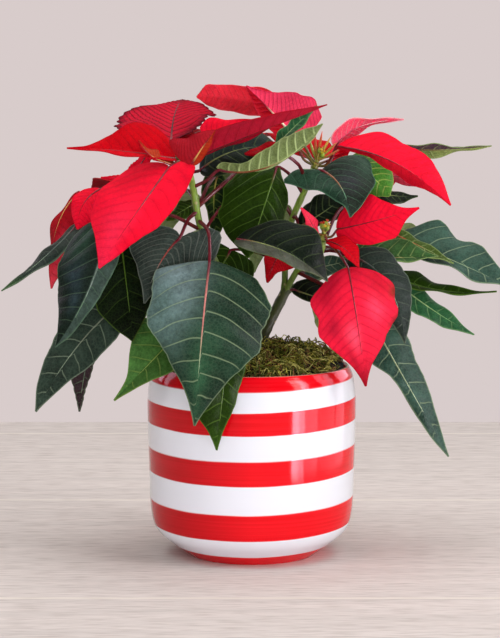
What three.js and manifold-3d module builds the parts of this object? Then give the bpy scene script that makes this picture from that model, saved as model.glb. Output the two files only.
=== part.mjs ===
// A poinsettia in a round glazed pot, banded red and white.
// Millimetres, +Z up, +X right, -Y to the front; the origin is the middle of the pot's flat foot.

import * as THREE from 'three';
import { mergeVertices } from 'three/addons/utils/BufferGeometryUtils.js';
import Module from 'manifold-3d';

const wasm = await Module();
wasm.setup();

// ---------------------------------------------------------------- driving dimensions

const POT_DIAMETER = 150;
const POT_HEIGHT = 137;
const POT_FOOT_RADIUS = 46;
const POT_WALL = 5.5;
const POT_FLOOR = 8;
const POT_SIDES = 32;

const GAP = 0.3;                 // running gap between pieces that touch
const MIX_TOP = 118;             // level of the potting mix
const MOSS_EDGE_HEIGHT = 131;    // moss where it meets the pot's inner wall
const MOSS_MOUND = 17;           // rise of the mound above its edge
const MOSS_LUMP = 2.2;           // height of the lumps in the moss
const STEM_FOOT = 100;           // the stems' cut ends, this high above the pot's foot

const BLADE_THICKNESS = 0.8;
const BLADE_EDGE = 0.6;          // half the width left at the very tip
const PETIOLE_RADIUS = 1.3;
const PETIOLE_SIDES = 3;
const PETIOLE_SUNK = 5;          // length of the petiole that runs on into the blade
const TRUNK_RADIUS = 3.6;
const SHOOT_RADIUS = 2.4;
const STEM_SIDES = 6;

const CORE_RADIUS = 3;           // the swollen tip of a shoot that carries the bracts
const CORE_LENGTH = 5;
const CUP_RADIUS = 1.7;          // one cyathium, the small green flower cup
const STALK_RADIUS = 0.7;        // the stalk under each cup
const PAD_RADIUS = 1.9;          // the low pad that all stalks of a head share
const PAD_HEIGHT = 1.6;

// ---------------------------------------------------------------- colours and finishes

const glaze = new THREE.MeshStandardMaterial({ color: 0xe8ddda, roughness: 0.15, metalness: 0 });
const pottingMix = new THREE.MeshStandardMaterial({ color: 0x2e2117, roughness: 0.95, metalness: 0 });
const mossGreen = new THREE.MeshStandardMaterial({ color: 0x5a5420, roughness: 0.95, metalness: 0 });
const leafGreen = new THREE.MeshStandardMaterial({ color: 0x2a4a36, roughness: 0.45, metalness: 0 });
const bractRed = new THREE.MeshStandardMaterial({ color: 0xd81028, roughness: 0.5, metalness: 0 });
const cupGreen = new THREE.MeshStandardMaterial({ color: 0x9aa030, roughness: 0.5, metalness: 0 });

// ---------------------------------------------------------------- solids

function toSolid(geometry) {
  const bare = geometry.clone();
  bare.deleteAttribute('normal');
  bare.deleteAttribute('uv');
  const merged = mergeVertices(bare, 1e-4);
  const vertProperties = new Float32Array(merged.attributes.position.array);
  const triVerts = new Uint32Array(merged.index.array);
  return new wasm.Manifold(new wasm.Mesh({ numProp: 3, vertProperties, triVerts }));
}

function toGeometry(solid) {
  const mesh = solid.getMesh();
  const geometry = new THREE.BufferGeometry();
  geometry.setAttribute('position', new THREE.BufferAttribute(mesh.vertProperties, 3));
  geometry.setIndex(new THREE.BufferAttribute(mesh.triVerts, 1));
  return geometry;
}

function joined(solids) {
  return solids.reduce((whole, next) => whole.add(next));
}

function vector(point) {
  return new THREE.Vector3(point[0], point[1], point[2]);
}

// A round bar along a smooth curve through the points.
function bar(points, radius, sides, steps) {
  const section = new THREE.Shape();
  for (let i = 0; i < sides; i += 1) {
    const angle = (2 * Math.PI * i) / sides;
    const x = radius * Math.cos(angle);
    const y = radius * Math.sin(angle);
    if (i === 0) section.moveTo(x, y);
    else section.lineTo(x, y);
  }
  const extrudePath = new THREE.CatmullRomCurve3(points.map(vector), false, 'centripetal');
  return toSolid(new THREE.ExtrudeGeometry(section, { steps, extrudePath, curveSegments: 1 }));
}

// ---------------------------------------------------------------- leaf and bract blades

// Half-widths are given at these shares of the blade's length, with a stub at the base and a
// point at the tip. The outline rises faster from the base, and runs flatter into the tip, than
// straight lines between the stations would.
const STATIONS = [0, 0.08, 0.25, 0.45, 0.65, 0.85, 1];
const BASE_STUB = 1.2;
const BASE_RISE = 1.4;
const TIP_FALL = 0.7;
const SHOULDER_WIDTH = 8;        // how far beside the midrib the heart-shaped base starts to bulge

function halfWidth(values, u) {
  const y = [BASE_STUB, ...values, 0];
  const rise = STATIONS.slice(1).map((x, i) => (y[i + 1] - y[i]) / (x - STATIONS[i]));
  const slope = y.map((value, i) => {
    if (i === 0) return rise[0] * BASE_RISE;
    if (i === 6) return rise[5] * TIP_FALL;
    const product = rise[i - 1] * rise[i];
    return product <= 0 ? 0 : (2 * product) / (rise[i - 1] + rise[i]);
  });
  let i = 0;
  while (i < 5 && u >= STATIONS[i + 1]) i += 1;
  const span = STATIONS[i + 1] - STATIONS[i];
  const t = (u - STATIONS[i]) / span;
  const start = (2 * t ** 3 - 3 * t ** 2 + 1) * y[i] + (t ** 3 - 2 * t ** 2 + t) * span * slope[i];
  const end = (3 * t ** 2 - 2 * t ** 3) * y[i + 1] + (t ** 3 - t ** 2) * span * slope[i + 1];
  return start + end;
}

// The midrib is one arc through base, mid and tip.
function midrib(blade, u) {
  const [base, mid, tip] = [blade.base, blade.mid, blade.tip].map(vector);
  const pull = mid.clone().multiplyScalar(2).addScaledVector(base, -0.5).addScaledVector(tip, -0.5);
  const arc = new THREE.QuadraticBezierCurve3(base, pull, tip);
  return { point: arc.getPoint(u), along: arc.getTangent(u) };
}

// One point of the blade's middle surface: u runs from base to tip, v from the left edge (-1)
// over the midrib to the right edge (1). Each blade may state its own fold along the midrib in
// degrees, height of the waves and depth of the lobes at its edge, reach of the heart-shaped
// base (with its own value on the left if the halves differ), curl of the edge, and a turn that
// shifts waves and lobes along.
function bladePoint(blade, u, v) {
  const { fold = 10, wave = 1.5, lobe = 0.04, heart = 4, curl = -0.12, turn = 0 } = blade;
  const { leftHeart = heart } = blade;
  const { point, along } = midrib(blade, u);
  const across = along.clone().cross(vector(blade.face).normalize()).normalize();
  const up = across.clone().cross(along);
  const phase = v > 0 ? 0 : 0.37;
  const outline = halfWidth(v > 0 ? blade.right : blade.left, u);
  const scallop = 1 + lobe * Math.sin(Math.PI * u) * Math.sin(2 * Math.PI * (3.2 * u + phase + turn));
  const width = outline * scallop + BLADE_EDGE;
  const angle = (fold * Math.PI) / 180;
  const ripple = Math.sin(2 * Math.PI * (2.2 * u + turn + 0.25 * Math.sign(v))) * Math.sin(Math.PI * u);
  const lift = width * Math.abs(v) * Math.sin(angle) + (curl * width + wave * ripple) * v * v;
  const side = width * Math.abs(v);
  const reach = v > 0 ? heart : leftHeart;
  const shoulder = (reach * (1 - u) ** 3 * side) / (side + SHOULDER_WIDTH);
  return point
    .addScaledVector(across, width * v * Math.cos(angle))
    .addScaledVector(up, lift)
    .addScaledVector(along, -shoulder);
}

// A thin closed blade. Both faces are split into the same triangles, so a waved blade never
// crosses itself.
function bladeSolid(blade) {
  const rows = blade.small ? 5 : blade.large ? 8 : 6;
  const columns = blade.large ? 4 : 2;
  const middle = [];
  for (let i = 0; i <= rows; i += 1) {
    const u = (i / rows) ** 1.3;
    for (let j = 0; j <= columns; j += 1) middle.push(bladePoint(blade, u, (2 * j) / columns - 1));
  }
  const at = (i, j) => i * (columns + 1) + j;
  const cells = [];
  for (let i = 0; i < rows; i += 1) {
    for (let j = 0; j < columns; j += 1) cells.push([at(i, j), at(i, j + 1), at(i + 1, j + 1), at(i + 1, j)]);
  }
  const normals = middle.map(() => new THREE.Vector3());
  for (const [a, b, c, d] of cells) {
    const slant = middle[c].clone().sub(middle[a]);
    const normal = middle[b].clone().sub(middle[d]).cross(slant).normalize();
    for (const corner of [a, b, c, d]) normals[corner].add(normal);
  }
  const half = BLADE_THICKNESS / 2;
  const upper = middle.map((p, k) => p.clone().addScaledVector(normals[k].normalize(), half));
  const lower = middle.map((p, k) => p.clone().addScaledVector(normals[k], -half));
  const count = middle.length;
  const index = [];
  for (const [a, b, c, d] of cells) {
    index.push(a, b, c, a, c, d);
    index.push(a + count, c + count, b + count, a + count, d + count, c + count);
  }
  const rim = [];
  for (let j = 0; j < columns; j += 1) rim.push(at(0, j));
  for (let i = 0; i < rows; i += 1) rim.push(at(i, columns));
  for (let j = columns; j > 0; j -= 1) rim.push(at(rows, j));
  for (let i = rows; i > 0; i -= 1) rim.push(at(i, 0));
  rim.forEach((a, k) => {
    const b = rim[(k + 1) % rim.length];
    index.push(a, a + count, b + count, a, b + count, b);
  });
  const geometry = new THREE.BufferGeometry();
  const positions = [...upper, ...lower].flatMap((p) => [p.x, p.y, p.z]);
  geometry.setAttribute('position', new THREE.Float32BufferAttribute(positions, 3));
  geometry.setIndex(index);
  return toSolid(geometry);
}

// The petiole leaves the stem, bows a little and runs on into the blade.
function petioleSolid(blade) {
  const { bow = 4 } = blade;
  const start = vector(blade.stem);
  const end = vector(blade.base);
  const halfway = blade.bend ? vector(blade.bend) : start.clone().lerp(end, 0.5);
  if (!blade.bend) halfway.z += bow;
  const reach = end.clone().addScaledVector(midrib(blade, 0).along, PETIOLE_SUNK);
  const points = [start, halfway, end, reach].map((p) => p.toArray());
  return bar(points, PETIOLE_RADIUS, PETIOLE_SIDES, blade.small ? 3 : 4);
}

function bladesOn(blades) {
  return blades.flatMap((blade) => [petioleSolid(blade), bladeSolid(blade)]);
}

// ---------------------------------------------------------------- pot, potting mix and moss

function potMesh() {
  const widest = POT_DIAMETER / 2;
  const outside = [
    [POT_FOOT_RADIUS, 0], [50, 3], [60, 10.5], [66.5, 16], [70.4, 22], [72.8, 33], [73.9, 61],
    [74.9, 96], [widest, 112], [74.2, 122], [72.4, 131], [69.8, POT_HEIGHT],
  ];
  const inside = [
    [67.4, 135], [68, 126], [widest - POT_WALL, 112], [widest - POT_WALL - 2, 41], [64, 24],
    [57, 14], [46, POT_FLOOR],
  ];
  const profile = [[0, 0], ...outside, ...inside, [0, POT_FLOOR]].map(([r, z]) => new THREE.Vector2(r, z));
  const pot = new THREE.LatheGeometry(profile, POT_SIDES);
  pot.rotateX(Math.PI / 2);
  return new THREE.Mesh(toGeometry(toSolid(pot)), glaze);
}

// The stems' own shape, swollen by the gap, makes their plain holes.
function holes() {
  return rootedShoots.map(({ route, radius }) => bar(route.slice(0, 4), radius + 3 * GAP, STEM_SIDES, 4));
}

function mixMesh() {
  const wall = POT_DIAMETER / 2 - POT_WALL - GAP;
  const profile = [
    [0, POT_FLOOR + GAP], [45, POT_FLOOR + GAP], [56, 14.6], [63, 24.6], [wall - 2, 42],
    [wall - 1, 78], [wall, 112], [wall - 0.8, MIX_TOP], [0, MIX_TOP],
  ].map(([r, z]) => new THREE.Vector2(r, z));
  const mix = new THREE.LatheGeometry(profile, POT_SIDES / 2);
  mix.rotateX(Math.PI / 2);
  const solid = holes().reduce((whole, hole) => whole.subtract(hole), toSolid(mix));
  return new THREE.Mesh(toGeometry(solid), pottingMix);
}

// The moss is a lumpy mound with its highest point right of the middle.
function mossHeight(x, y) {
  const radius = 66;
  const mound = 1 - Math.min(1, Math.hypot(x - 14, y - 6) / radius) ** 2;
  const lumps = Math.sin(x / 5.1 + 1.3 * Math.sin(y / 7)) * Math.cos(y / 4.7 - 0.8 * Math.sin(x / 9));
  return MOSS_EDGE_HEIGHT + MOSS_MOUND * mound + MOSS_LUMP * lumps;
}

function mossMesh() {
  const rings = 6;
  const sides = 24;
  const outer = 66.2;
  const positions = [0, 0, mossHeight(0, 0)];
  for (let i = 1; i <= rings; i += 1) {
    for (let j = 0; j < sides; j += 1) {
      const angle = (2 * Math.PI * (j + 0.5 * (i % 2))) / sides;
      const x = (outer * i * Math.cos(angle)) / rings;
      const y = (outer * i * Math.sin(angle)) / rings;
      positions.push(x, y, i === rings ? MOSS_EDGE_HEIGHT - 1 : mossHeight(x, y));
    }
  }
  const foot = positions.length / 3;
  for (let j = 0; j < sides; j += 1) {
    const at = 3 * (1 + (rings - 1) * sides + j);
    positions.push(positions[at], positions[at + 1], MIX_TOP + GAP);
  }
  const under = positions.length / 3;
  positions.push(0, 0, MIX_TOP + GAP);
  const index = [];
  const at = (i, j) => (i === 0 ? 0 : 1 + (i - 1) * sides + (j % sides));
  for (let j = 0; j < sides; j += 1) {
    index.push(0, at(1, j), at(1, j + 1));
    for (let i = 1; i < rings; i += 1) {
      const step = i % 2;
      const [a, b, c, d] = [at(i, j), at(i, j + 1), at(i + 1, j + 1), at(i + 1, j)];
      if (step) index.push(a, d, c, a, c, b);
      else index.push(a, d, b, d, c, b);
    }
    const next = (j + 1) % sides;
    index.push(at(rings, j), foot + j, foot + next, at(rings, j), foot + next, at(rings, j + 1));
    index.push(under, foot + next, foot + j);
  }
  const mound = new THREE.BufferGeometry();
  mound.setAttribute('position', new THREE.Float32BufferAttribute(positions, 3));
  mound.setIndex(index);
  const solid = holes().reduce((whole, hole) => whole.subtract(hole), toSolid(mound));
  return new THREE.Mesh(toGeometry(solid), mossGreen);
}

// ---------------------------------------------------------------- the shoots' routes
// Three shoots stand in the pot: left, far left and the trunk, which forks into the other three.

const leftShoot = [
  [10, -8, STEM_FOOT], [5, -11, 124], [0, -15, 147], [-8, -22, 173], [-21, -32, 204],
  [-34, -40, 233], [-37, -42, 244], [-41, -44, 267], [-45, -46, 281],
];
const farLeftShoot = [
  [2, 22, STEM_FOOT], [-3, 23, 124], [-9, 24, 143], [-19, 26, 166], [-34, 24, 196],
  [-58, 20, 214], [-77, 12, 236], [-86, -4, 262],
];
const trunk = [
  [4, 4, STEM_FOOT], [4, 3, 124], [6, 2, 145], [9, 1, 158], [16, 1, 173], [25, 2, 191],
];
const topShoot = [
  [16, 1, 173], [23, 2, 190], [24, 2, 210], [26, 2, 230], [30, 2, 244], [37, 0, 260], [44, -2, 277],
];
const frontShoot = [
  [16, 1, 173], [25, 1, 191], [34, -6, 207], [43, -20, 216], [49, -29, 221], [50, -31, 228],
];
const backShoot = [
  [20, 1, 182], [28, 12, 190], [42, 26, 194], [61, 38, 204], [75, 44, 226], [81, 46, 248],
  [84, 46, 265],
];
const rootedShoots = [
  { route: leftShoot, radius: SHOOT_RADIUS },
  { route: farLeftShoot, radius: SHOOT_RADIUS },
  { route: trunk, radius: TRUNK_RADIUS },
];

// ---------------------------------------------------------------- green leaves
// Each leaf: where its petiole leaves the stem, the midrib's base, mid and tip, the half-widths
// on its right and left, and the way its upper side faces.

const leftLeaves = [
  { stem: [-37, -42, 243], base: [-29, -62, 216], mid: [-34, -90, 166], tip: [-39, -90, 106],
    right: [36, 38, 36, 20, 6], left: [34, 43, 42, 29, 11], face: [0, -1, 0.2], bend: [-30, -54, 236],
    fold: -6, wave: 3, lobe: 0.05, large: true },
  { stem: [-38, -43, 249], base: [-50, -50, 231], mid: [-64, -53, 213], tip: [-74, -62, 187],
    right: [10, 22, 25, 12, 4], left: [20, 28, 26, 14, 4], face: [0, -1, 0], fold: -4, heart: 8,
    leftHeart: 44 },
  { stem: [-35, -41, 236], base: [-97, -66, 243], mid: [-111, -86, 197], tip: [-134, -80, 159],
    right: [22, 33, 30, 23, 10], left: [10, 11, 8, 6, 3], face: [-0.3, -1, 0.3], bend: [-60, -50, 248],
    fold: -12, heart: 14 },
  { stem: [-41, -44, 266], base: [-23, -46, 278], mid: [15, -54, 282], tip: [49, -50, 310],
    right: [6, 7, 11, 14, 9], left: [3, 3, 3, 6, 6], face: [0, 0.75, 0.66], bend: [-31, -45, 271],
    fold: 43, heart: 10 },
  { stem: [-41, -44, 268], base: [-36, -24, 277], mid: [-11, -31, 291], tip: [20, -20, 293],
    right: [8, 14, 15, 11, 4], left: [10, 15, 17, 17, 14], face: [0, -0.75, 0.66],
    bend: [-44, -33, 275], fold: 5 },
  { stem: [-38, -42, 250], base: [-24, -1, 274], mid: [-27, -3, 254], tip: [-25, -6, 227],
    right: [6, 9, 8, 4, 3], left: [5, 8, 8, 8, 5], face: [0, -1, 0], bend: [-31, -24, 266], fold: 6,
    heart: 4, small: true },
  { stem: [-33, -39, 231], base: [-21, -5, 251], mid: [-12, 24, 246], tip: [-8, 56, 222],
    right: [8, 13, 13, 9, 4], left: [8, 13, 13, 9, 4], face: [0, 0.4, 0.9], bend: [-31, -27, 238] },
  { stem: [-39, -43, 256], base: [-40, -22, 254], mid: [-48, -26, 249], tip: [-60, -26, 242],
    right: [4, 6, 7, 5, 2], left: [4, 6, 7, 5, 2], face: [0, -0.8, 0.6], fold: 0, small: true },
  { stem: [-38, -42, 252], base: [-12, -1, 274], mid: [-8, 32, 268], tip: [-4, 70, 246],
    right: [12, 18, 18, 14, 6], left: [12, 18, 18, 14, 6], face: [0, 0.4, 0.9],
    bend: [-15, -22, 272] },
  { stem: [-40, -43, 258], base: [-50, -18, 261], mid: [-60, 22, 248], tip: [-66, 56, 222],
    right: [13, 19, 19, 14, 6], left: [13, 19, 19, 14, 6], face: [0, 0.3, 1], turn: 0.3 },
];

const farLeftLeaves = [
  { stem: [-22, 26, 172], base: [-41, -30, 174], mid: [-65, -48, 150], tip: [-96, -52, 118],
    right: [10, 22, 27, 16, 3], left: [8, 15, 16, 11, 4], face: [-0.1, -1, 0.4], fold: 6 },
  { stem: [-66, 17, 222], base: [-93, -34, 239], mid: [-87, -46, 197], tip: [-83, -48, 159],
    right: [16, 24, 26, 22, 12], left: [12, 18, 20, 16, 7], face: [0, -1, 0.3], fold: 8 },
  { stem: [-85, 0, 254], base: [-120, -34, 242], mid: [-142, -58, 219], tip: [-172, -66, 196],
    right: [6, 7, 8, 6, 2], left: [6, 7, 6, 4, 1.5], face: [-0.3, -0.6, 0.8], bend: [-99, -24, 240],
    fold: -10 },
  { stem: [-32, 24, 192], base: [-92, -26, 184], mid: [-124, -36, 152], tip: [-152, -38, 108],
    right: [12, 16, 18, 14, 8], left: [12, 17, 17, 12, 5], face: [-0.1, -1, 0.4], fold: 8 },
  { stem: [-32, 25, 188], base: [-113, -4, 165], mid: [-120, -6, 130], tip: [-124, -4, 103],
    right: [8, 11, 12, 6, 2], left: [5, 5, 4, 2, 1], face: [0, -1, 0.1], bow: 12, fold: 5 },
  { stem: [-19, 26, 168], base: [-10, 55, 190], mid: [-20, 85, 165], tip: [-28, 105, 124],
    right: [18, 26, 26, 18, 7], left: [18, 26, 26, 18, 7], face: [0, 1, 0.5], lobe: 0.05 },
  { stem: [-40, 24, 200], base: [-62, 45, 206], mid: [-78, 75, 186], tip: [-90, 95, 150],
    right: [15, 22, 21, 14, 5], left: [15, 22, 21, 14, 5], face: [-0.2, 1, 0.6], turn: 0.4 },
  { stem: [-77, 12, 236], base: [-95, 35, 240], mid: [-112, 60, 222], tip: [-128, 78, 185],
    right: [12, 17, 17, 12, 5], left: [12, 17, 17, 12, 5], face: [-0.4, 0.8, 0.7], turn: 0.7 },
];

const rightLeaves = [
  { stem: [8, 1, 154], base: [-16, -66, 165], mid: [-20, -82, 126], tip: [-24, -83, 88],
    right: [8, 16, 20, 17, 6], left: [8, 13, 11, 7, 2], face: [0.2, -1, 0.1], fold: 6 },
  { stem: [38, -1, 264], base: [17, -38, 294], mid: [29, -44, 307], tip: [45, -44, 322],
    right: [3, 6, 6, 5, 2], left: [3, 6, 6, 5, 2], face: [-0.2, -0.7, 0.7], bend: [33, -28, 281],
    fold: 20, small: true },
  { stem: [37, 0, 259], base: [18, -6, 279], mid: [8, -20, 249], tip: [-3, -18, 215],
    right: [18, 27, 30, 29, 20], left: [4, 12, 16, 13, 6], face: [0, -1, 0.1], fold: -5 },
  { stem: [25, 2, 216], base: [-10, -46, 230], mid: [24, -62, 222], tip: [52, -62, 202],
    right: [10, 14, 15, 11, 5], left: [11, 20, 27, 25, 12], face: [0, -0.6, 0.8], fold: 22 },
  { stem: [23, 2, 208], base: [-15, -12, 220], mid: [-25, -12, 203], tip: [-39, -14, 183],
    right: [14, 20, 20, 14, 6], left: [18, 22, 20, 14, 6], face: [0, -1, 0.2], fold: 0 },
  { stem: [39, -1, 265], base: [49, -24, 277], mid: [62, -38, 266], tip: [68, -56, 246],
    right: [20, 20, 15, 8, 2], left: [18, 28, 27, 19, 8], face: [0.1, -0.95, 0.35], fold: -4,
    heart: 42, leftHeart: 0, large: true },
  { stem: [39, -1, 267], base: [70, 6, 278], mid: [85, 10, 272], tip: [99, 10, 257],
    right: [8, 14, 14, 12, 8], left: [8, 14, 16, 15, 9], face: [0, -1, 0.3], fold: 0 },
  { stem: [49, -29, 222], base: [85, 16, 261], mid: [103, 18, 257], tip: [120, 18, 257],
    right: [6, 9, 9, 5, 2], left: [6, 9, 8, 4, 2], face: [0, -0.6, 0.8], bend: [62, -9, 248], fold: 0,
    small: true },
  { stem: [82, 46, 254], base: [105, 30, 291], mid: [137, 32, 290], tip: [174, 28, 293],
    right: [6, 10, 9, 6, 2], left: [7, 10, 8, 5, 2], face: [0, 0.5, 0.87], bend: [96, 37, 268],
    fold: 0 },
  { stem: [75, 44, 224], base: [104, 14, 227], mid: [147, 4, 210], tip: [193, -4, 189],
    right: [8, 13, 13, 10, 4], left: [13, 27, 25, 19, 9], face: [0.1, -0.6, 0.8], fold: 16, wave: 3,
    lobe: 0.1 },
  { stem: [45, -22, 221], base: [67, -12, 216], mid: [101, -18, 215], tip: [132, -18, 216],
    right: [6, 8, 8, 6, 2], left: [8, 15, 17, 14, 5], face: [0, -0.6, 0.8], fold: 25 },
  { stem: [76, 44, 227], base: [96, 4, 233], mid: [120, -2, 222], tip: [144, -6, 210],
    right: [4, 8, 9, 6, 2], left: [3, 6, 6, 4, 2], face: [0.1, -0.6, 0.8], small: true },
  { stem: [63, 39, 206], base: [101, 6, 200], mid: [135, 4, 190], tip: [176, 2, 189],
    right: [5, 6, 5, 3, 1], left: [8, 12, 8, 4, 1], face: [0, -0.5, 0.85], fold: 15, small: true },
  { stem: [66, 40, 210], base: [102, 18, 196], mid: [132, 14, 174], tip: [161, 10, 157],
    right: [7, 11, 10, 7, 3], left: [6, 9, 8, 6, 2], face: [0.2, -0.8, 0.6], fold: 8 },
  { stem: [41, -16, 216], base: [69, -28, 217], mid: [95, -40, 198], tip: [107, -44, 157],
    right: [12, 18, 20, 14, 6], left: [10, 18, 18, 13, 6], face: [0.2, -1, 0.4], fold: -8 },
  { stem: [32, -4, 204], base: [85, -22, 170], mid: [108, -32, 130], tip: [140, -26, 74],
    right: [10, 15, 7, 5, 4], left: [12, 17, 15, 11, 5], face: [0.1, -1, 0.3], fold: -8 },
  { stem: [29, 2, 242], base: [34, -5, 236], mid: [50, -8, 246], tip: [67, -2, 258],
    right: [4, 5, 7, 9, 6], left: [7, 11, 13, 13, 7], face: [0, -0.9, 0.5], fold: 0 },
  { stem: [25, 2, 191], base: [30, 8, 190], mid: [48, 8, 184], tip: [71, 8, 177],
    right: [3, 4, 5, 4, 2], left: [8, 12, 13, 11, 5], face: [0, -0.8, 0.6], bow: 0, fold: 0,
    small: true },
  { stem: [31, -3, 204], base: [37, 16, 202], mid: [55, 22, 206], tip: [74, 25, 210],
    right: [6, 8, 8, 6, 3], left: [6, 9, 9, 7, 3], face: [0, -0.8, 0.6], bow: 0, fold: 0,
    small: true },
  { stem: [29, 2, 243], base: [17, 20, 252], mid: [8, 52, 232], tip: [2, 84, 196],
    right: [12, 17, 17, 12, 5], left: [12, 14, 14, 12, 5], face: [0, 0.6, 0.8] },
  { stem: [37, 0, 260], base: [52, 22, 270], mid: [66, 48, 262], tip: [78, 78, 236],
    right: [12, 18, 18, 13, 5], left: [12, 18, 18, 13, 5], face: [0.1, 0.6, 0.9], turn: 0.3 },
  { stem: [61, 38, 204], base: [75, 60, 206], mid: [88, 85, 186], tip: [98, 105, 145],
    right: [15, 23, 22, 15, 6], left: [15, 23, 22, 15, 6], face: [0.2, 1, 0.5], turn: 0.6 },
  { stem: [42, 26, 194], base: [58, 45, 182], mid: [62, 72, 162], tip: [66, 92, 122],
    right: [10, 15, 15, 11, 4], left: [10, 15, 15, 11, 4], face: [0, 1, 0.5] },
  { stem: [75, 44, 226], base: [100, 62, 232], mid: [122, 80, 222], tip: [148, 90, 204],
    right: [8, 13, 13, 10, 4], left: [8, 13, 13, 10, 4], face: [0.3, 0.7, 0.8], turn: 0.5 },
];

// ---------------------------------------------------------------- red bracts

const leftBracts = [
  { base: [-57, -58, 280], mid: [-79, -86, 249], tip: [-103, -94, 214], right: [22, 33, 35, 31, 13],
    left: [15, 19, 18, 12, 5], face: [-0.25, -0.9, 0.4], fold: -4, lobe: 0.02, heart: 14,
    leftHeart: 34, large: true },
  { base: [-53, -53, 286], mid: [-91, -70, 292], tip: [-125, -80, 294], right: [17, 26, 18, 8, 0.8],
    left: [3, 4, 4.5, 3, 0.7], face: [-0.1, -0.75, 0.65], bend: [-51, -52, 282], fold: 20, heart: 3,
    leftHeart: 3 },
  { base: [-53, -54, 282], mid: [-68, -64, 288], tip: [-77, -70, 299], right: [4, 7, 6, 3, 1],
    left: [0.7, 0.7, 0.7, 0.7, 0.5], face: [-0.1, -0.75, 0.65], small: true },
  { base: [-56, -36, 298], mid: [-55, 2, 315], tip: [-51, 40, 326], right: [6, 14, 21, 25, 17],
    left: [14, 36, 40, 27, 14], face: [0, -0.35, 1], bend: [-57, -43, 288], fold: 4, wave: 3,
    lobe: 0.08, large: true },
  { base: [-71, -30, 294], mid: [-84, -26, 276], tip: [-106, -24, 272], right: [4, 4, 4, 2, 1],
    left: [4, 4, 3, 1, 0.5], face: [0, -0.8, 0.6], fold: 0, small: true },
  { base: [-41, -40, 286], mid: [1, -50, 303], tip: [52, -50, 323], right: [8, 16, 12, 11, 4],
    left: [8, 12, 10, 7, 2], face: [0, 0.5, 0.87], fold: 30, lobe: 0.02 },
  { base: [-41, -60, 283], mid: [-33, -66, 295], tip: [-25, -68, 306], right: [3, 4, 4, 3, 1],
    left: [12, 21, 12, 9, 4], face: [0, -1, 0.1], fold: 5, heart: 2, leftHeart: 10, small: true },
  { base: [-45, -27, 293], mid: [-39, 2, 303], tip: [-27, 46, 302], right: [9, 14, 15, 11, 5],
    left: [9, 14, 15, 11, 5], face: [0, 0, 1] },
  { base: [-31, -38, 301], mid: [-13, -32, 308], tip: [23, -26, 312], right: [4, 6, 6, 4, 2],
    left: [8, 10, 6, 3, 1], face: [0, -0.9, 0.4], fold: 5 },
];

const farLeftBracts = [
  { base: [-106, -30, 264], mid: [-117, -42, 254], tip: [-121, -46, 237], right: [4, 9, 9, 7, 3],
    left: [8, 11, 12, 14, 9], face: [-0.2, -0.9, 0.4], fold: 0, heart: 0 },
  { base: [-122, -8, 261], mid: [-138, -18, 235], tip: [-141, -28, 194], right: [3, 3.5, 7, 3.5, 1.5],
    left: [5, 9, 17, 18, 9], face: [-0.6, -0.8, 0.3], bend: [-109, -9, 258], fold: -10 },
  { base: [-84, 8, 265], mid: [-92, 46, 257], tip: [-100, 88, 224], right: [17, 27, 27, 20, 8],
    left: [17, 27, 27, 20, 8], face: [0, 0.5, 0.9], lobe: 0.02 },
  { base: [-97, 4, 262], mid: [-121, 30, 249], tip: [-139, 50, 214], right: [11, 17, 17, 12, 5],
    left: [11, 17, 17, 12, 5], face: [-0.5, 0.4, 0.8], turn: 0.4 },
];

const topBracts = [
  { base: [23, 22, 317], mid: [-10, 30, 326], tip: [-40, 34, 328], right: [4, 8, 10, 9, 7],
    left: [8, 12, 11, 9, 9], face: [0, 1, 0.3], fold: 10 },
  { base: [32, 4, 298], mid: [15, 14, 317], tip: [-4, 18, 336], right: [5, 9, 9, 7, 3],
    left: [24, 27, 23, 12, 4], face: [0, 1, 0.1], bend: [37, 1, 284], fold: 5, leftHeart: 8 },
  { base: [60, 2, 293], mid: [77, 8, 307], tip: [109, 12, 312], right: [8, 12, 9, 5, 2],
    left: [8, 12, 10, 6, 2], face: [0, 0.6, 0.8], bend: [53, 1, 280], fold: 15 },
  { base: [61, -6, 293], mid: [101, -30, 282], tip: [139, -34, 253], right: [2, 3, 7, 6, 2],
    left: [12, 22, 21, 20, 12], face: [0.25, -1, 0.35], bend: [54, -5, 280], fold: -15, lobe: 0.02,
    large: true },
  { base: [27, -30, 296], mid: [11, -35, 292], tip: [-5, -39, 289], right: [3, 5, 5, 4, 2],
    left: [3, 5, 5, 4, 2], face: [0, -0.8, 0.6], fold: 0, small: true },
  { base: [57, 4, 284], mid: [63, 6, 286], tip: [70, 6, 290], right: [3, 6, 7, 5, 2],
    left: [3, 6, 7, 5, 2], face: [0, -0.8, 0.6], bow: 0, fold: 0, small: true },
  { base: [50, 10, 284], mid: [60, 40, 292], tip: [66, 80, 286], right: [14, 22, 22, 16, 6],
    left: [14, 22, 22, 16, 6], face: [0, 0.2, 1], lobe: 0.02 },
  { base: [42, 8, 285], mid: [28, 40, 299], tip: [2, 78, 298], right: [13, 21, 21, 15, 6],
    left: [13, 21, 21, 15, 6], face: [0, 0.1, 1], turn: 0.5 },
];

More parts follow.
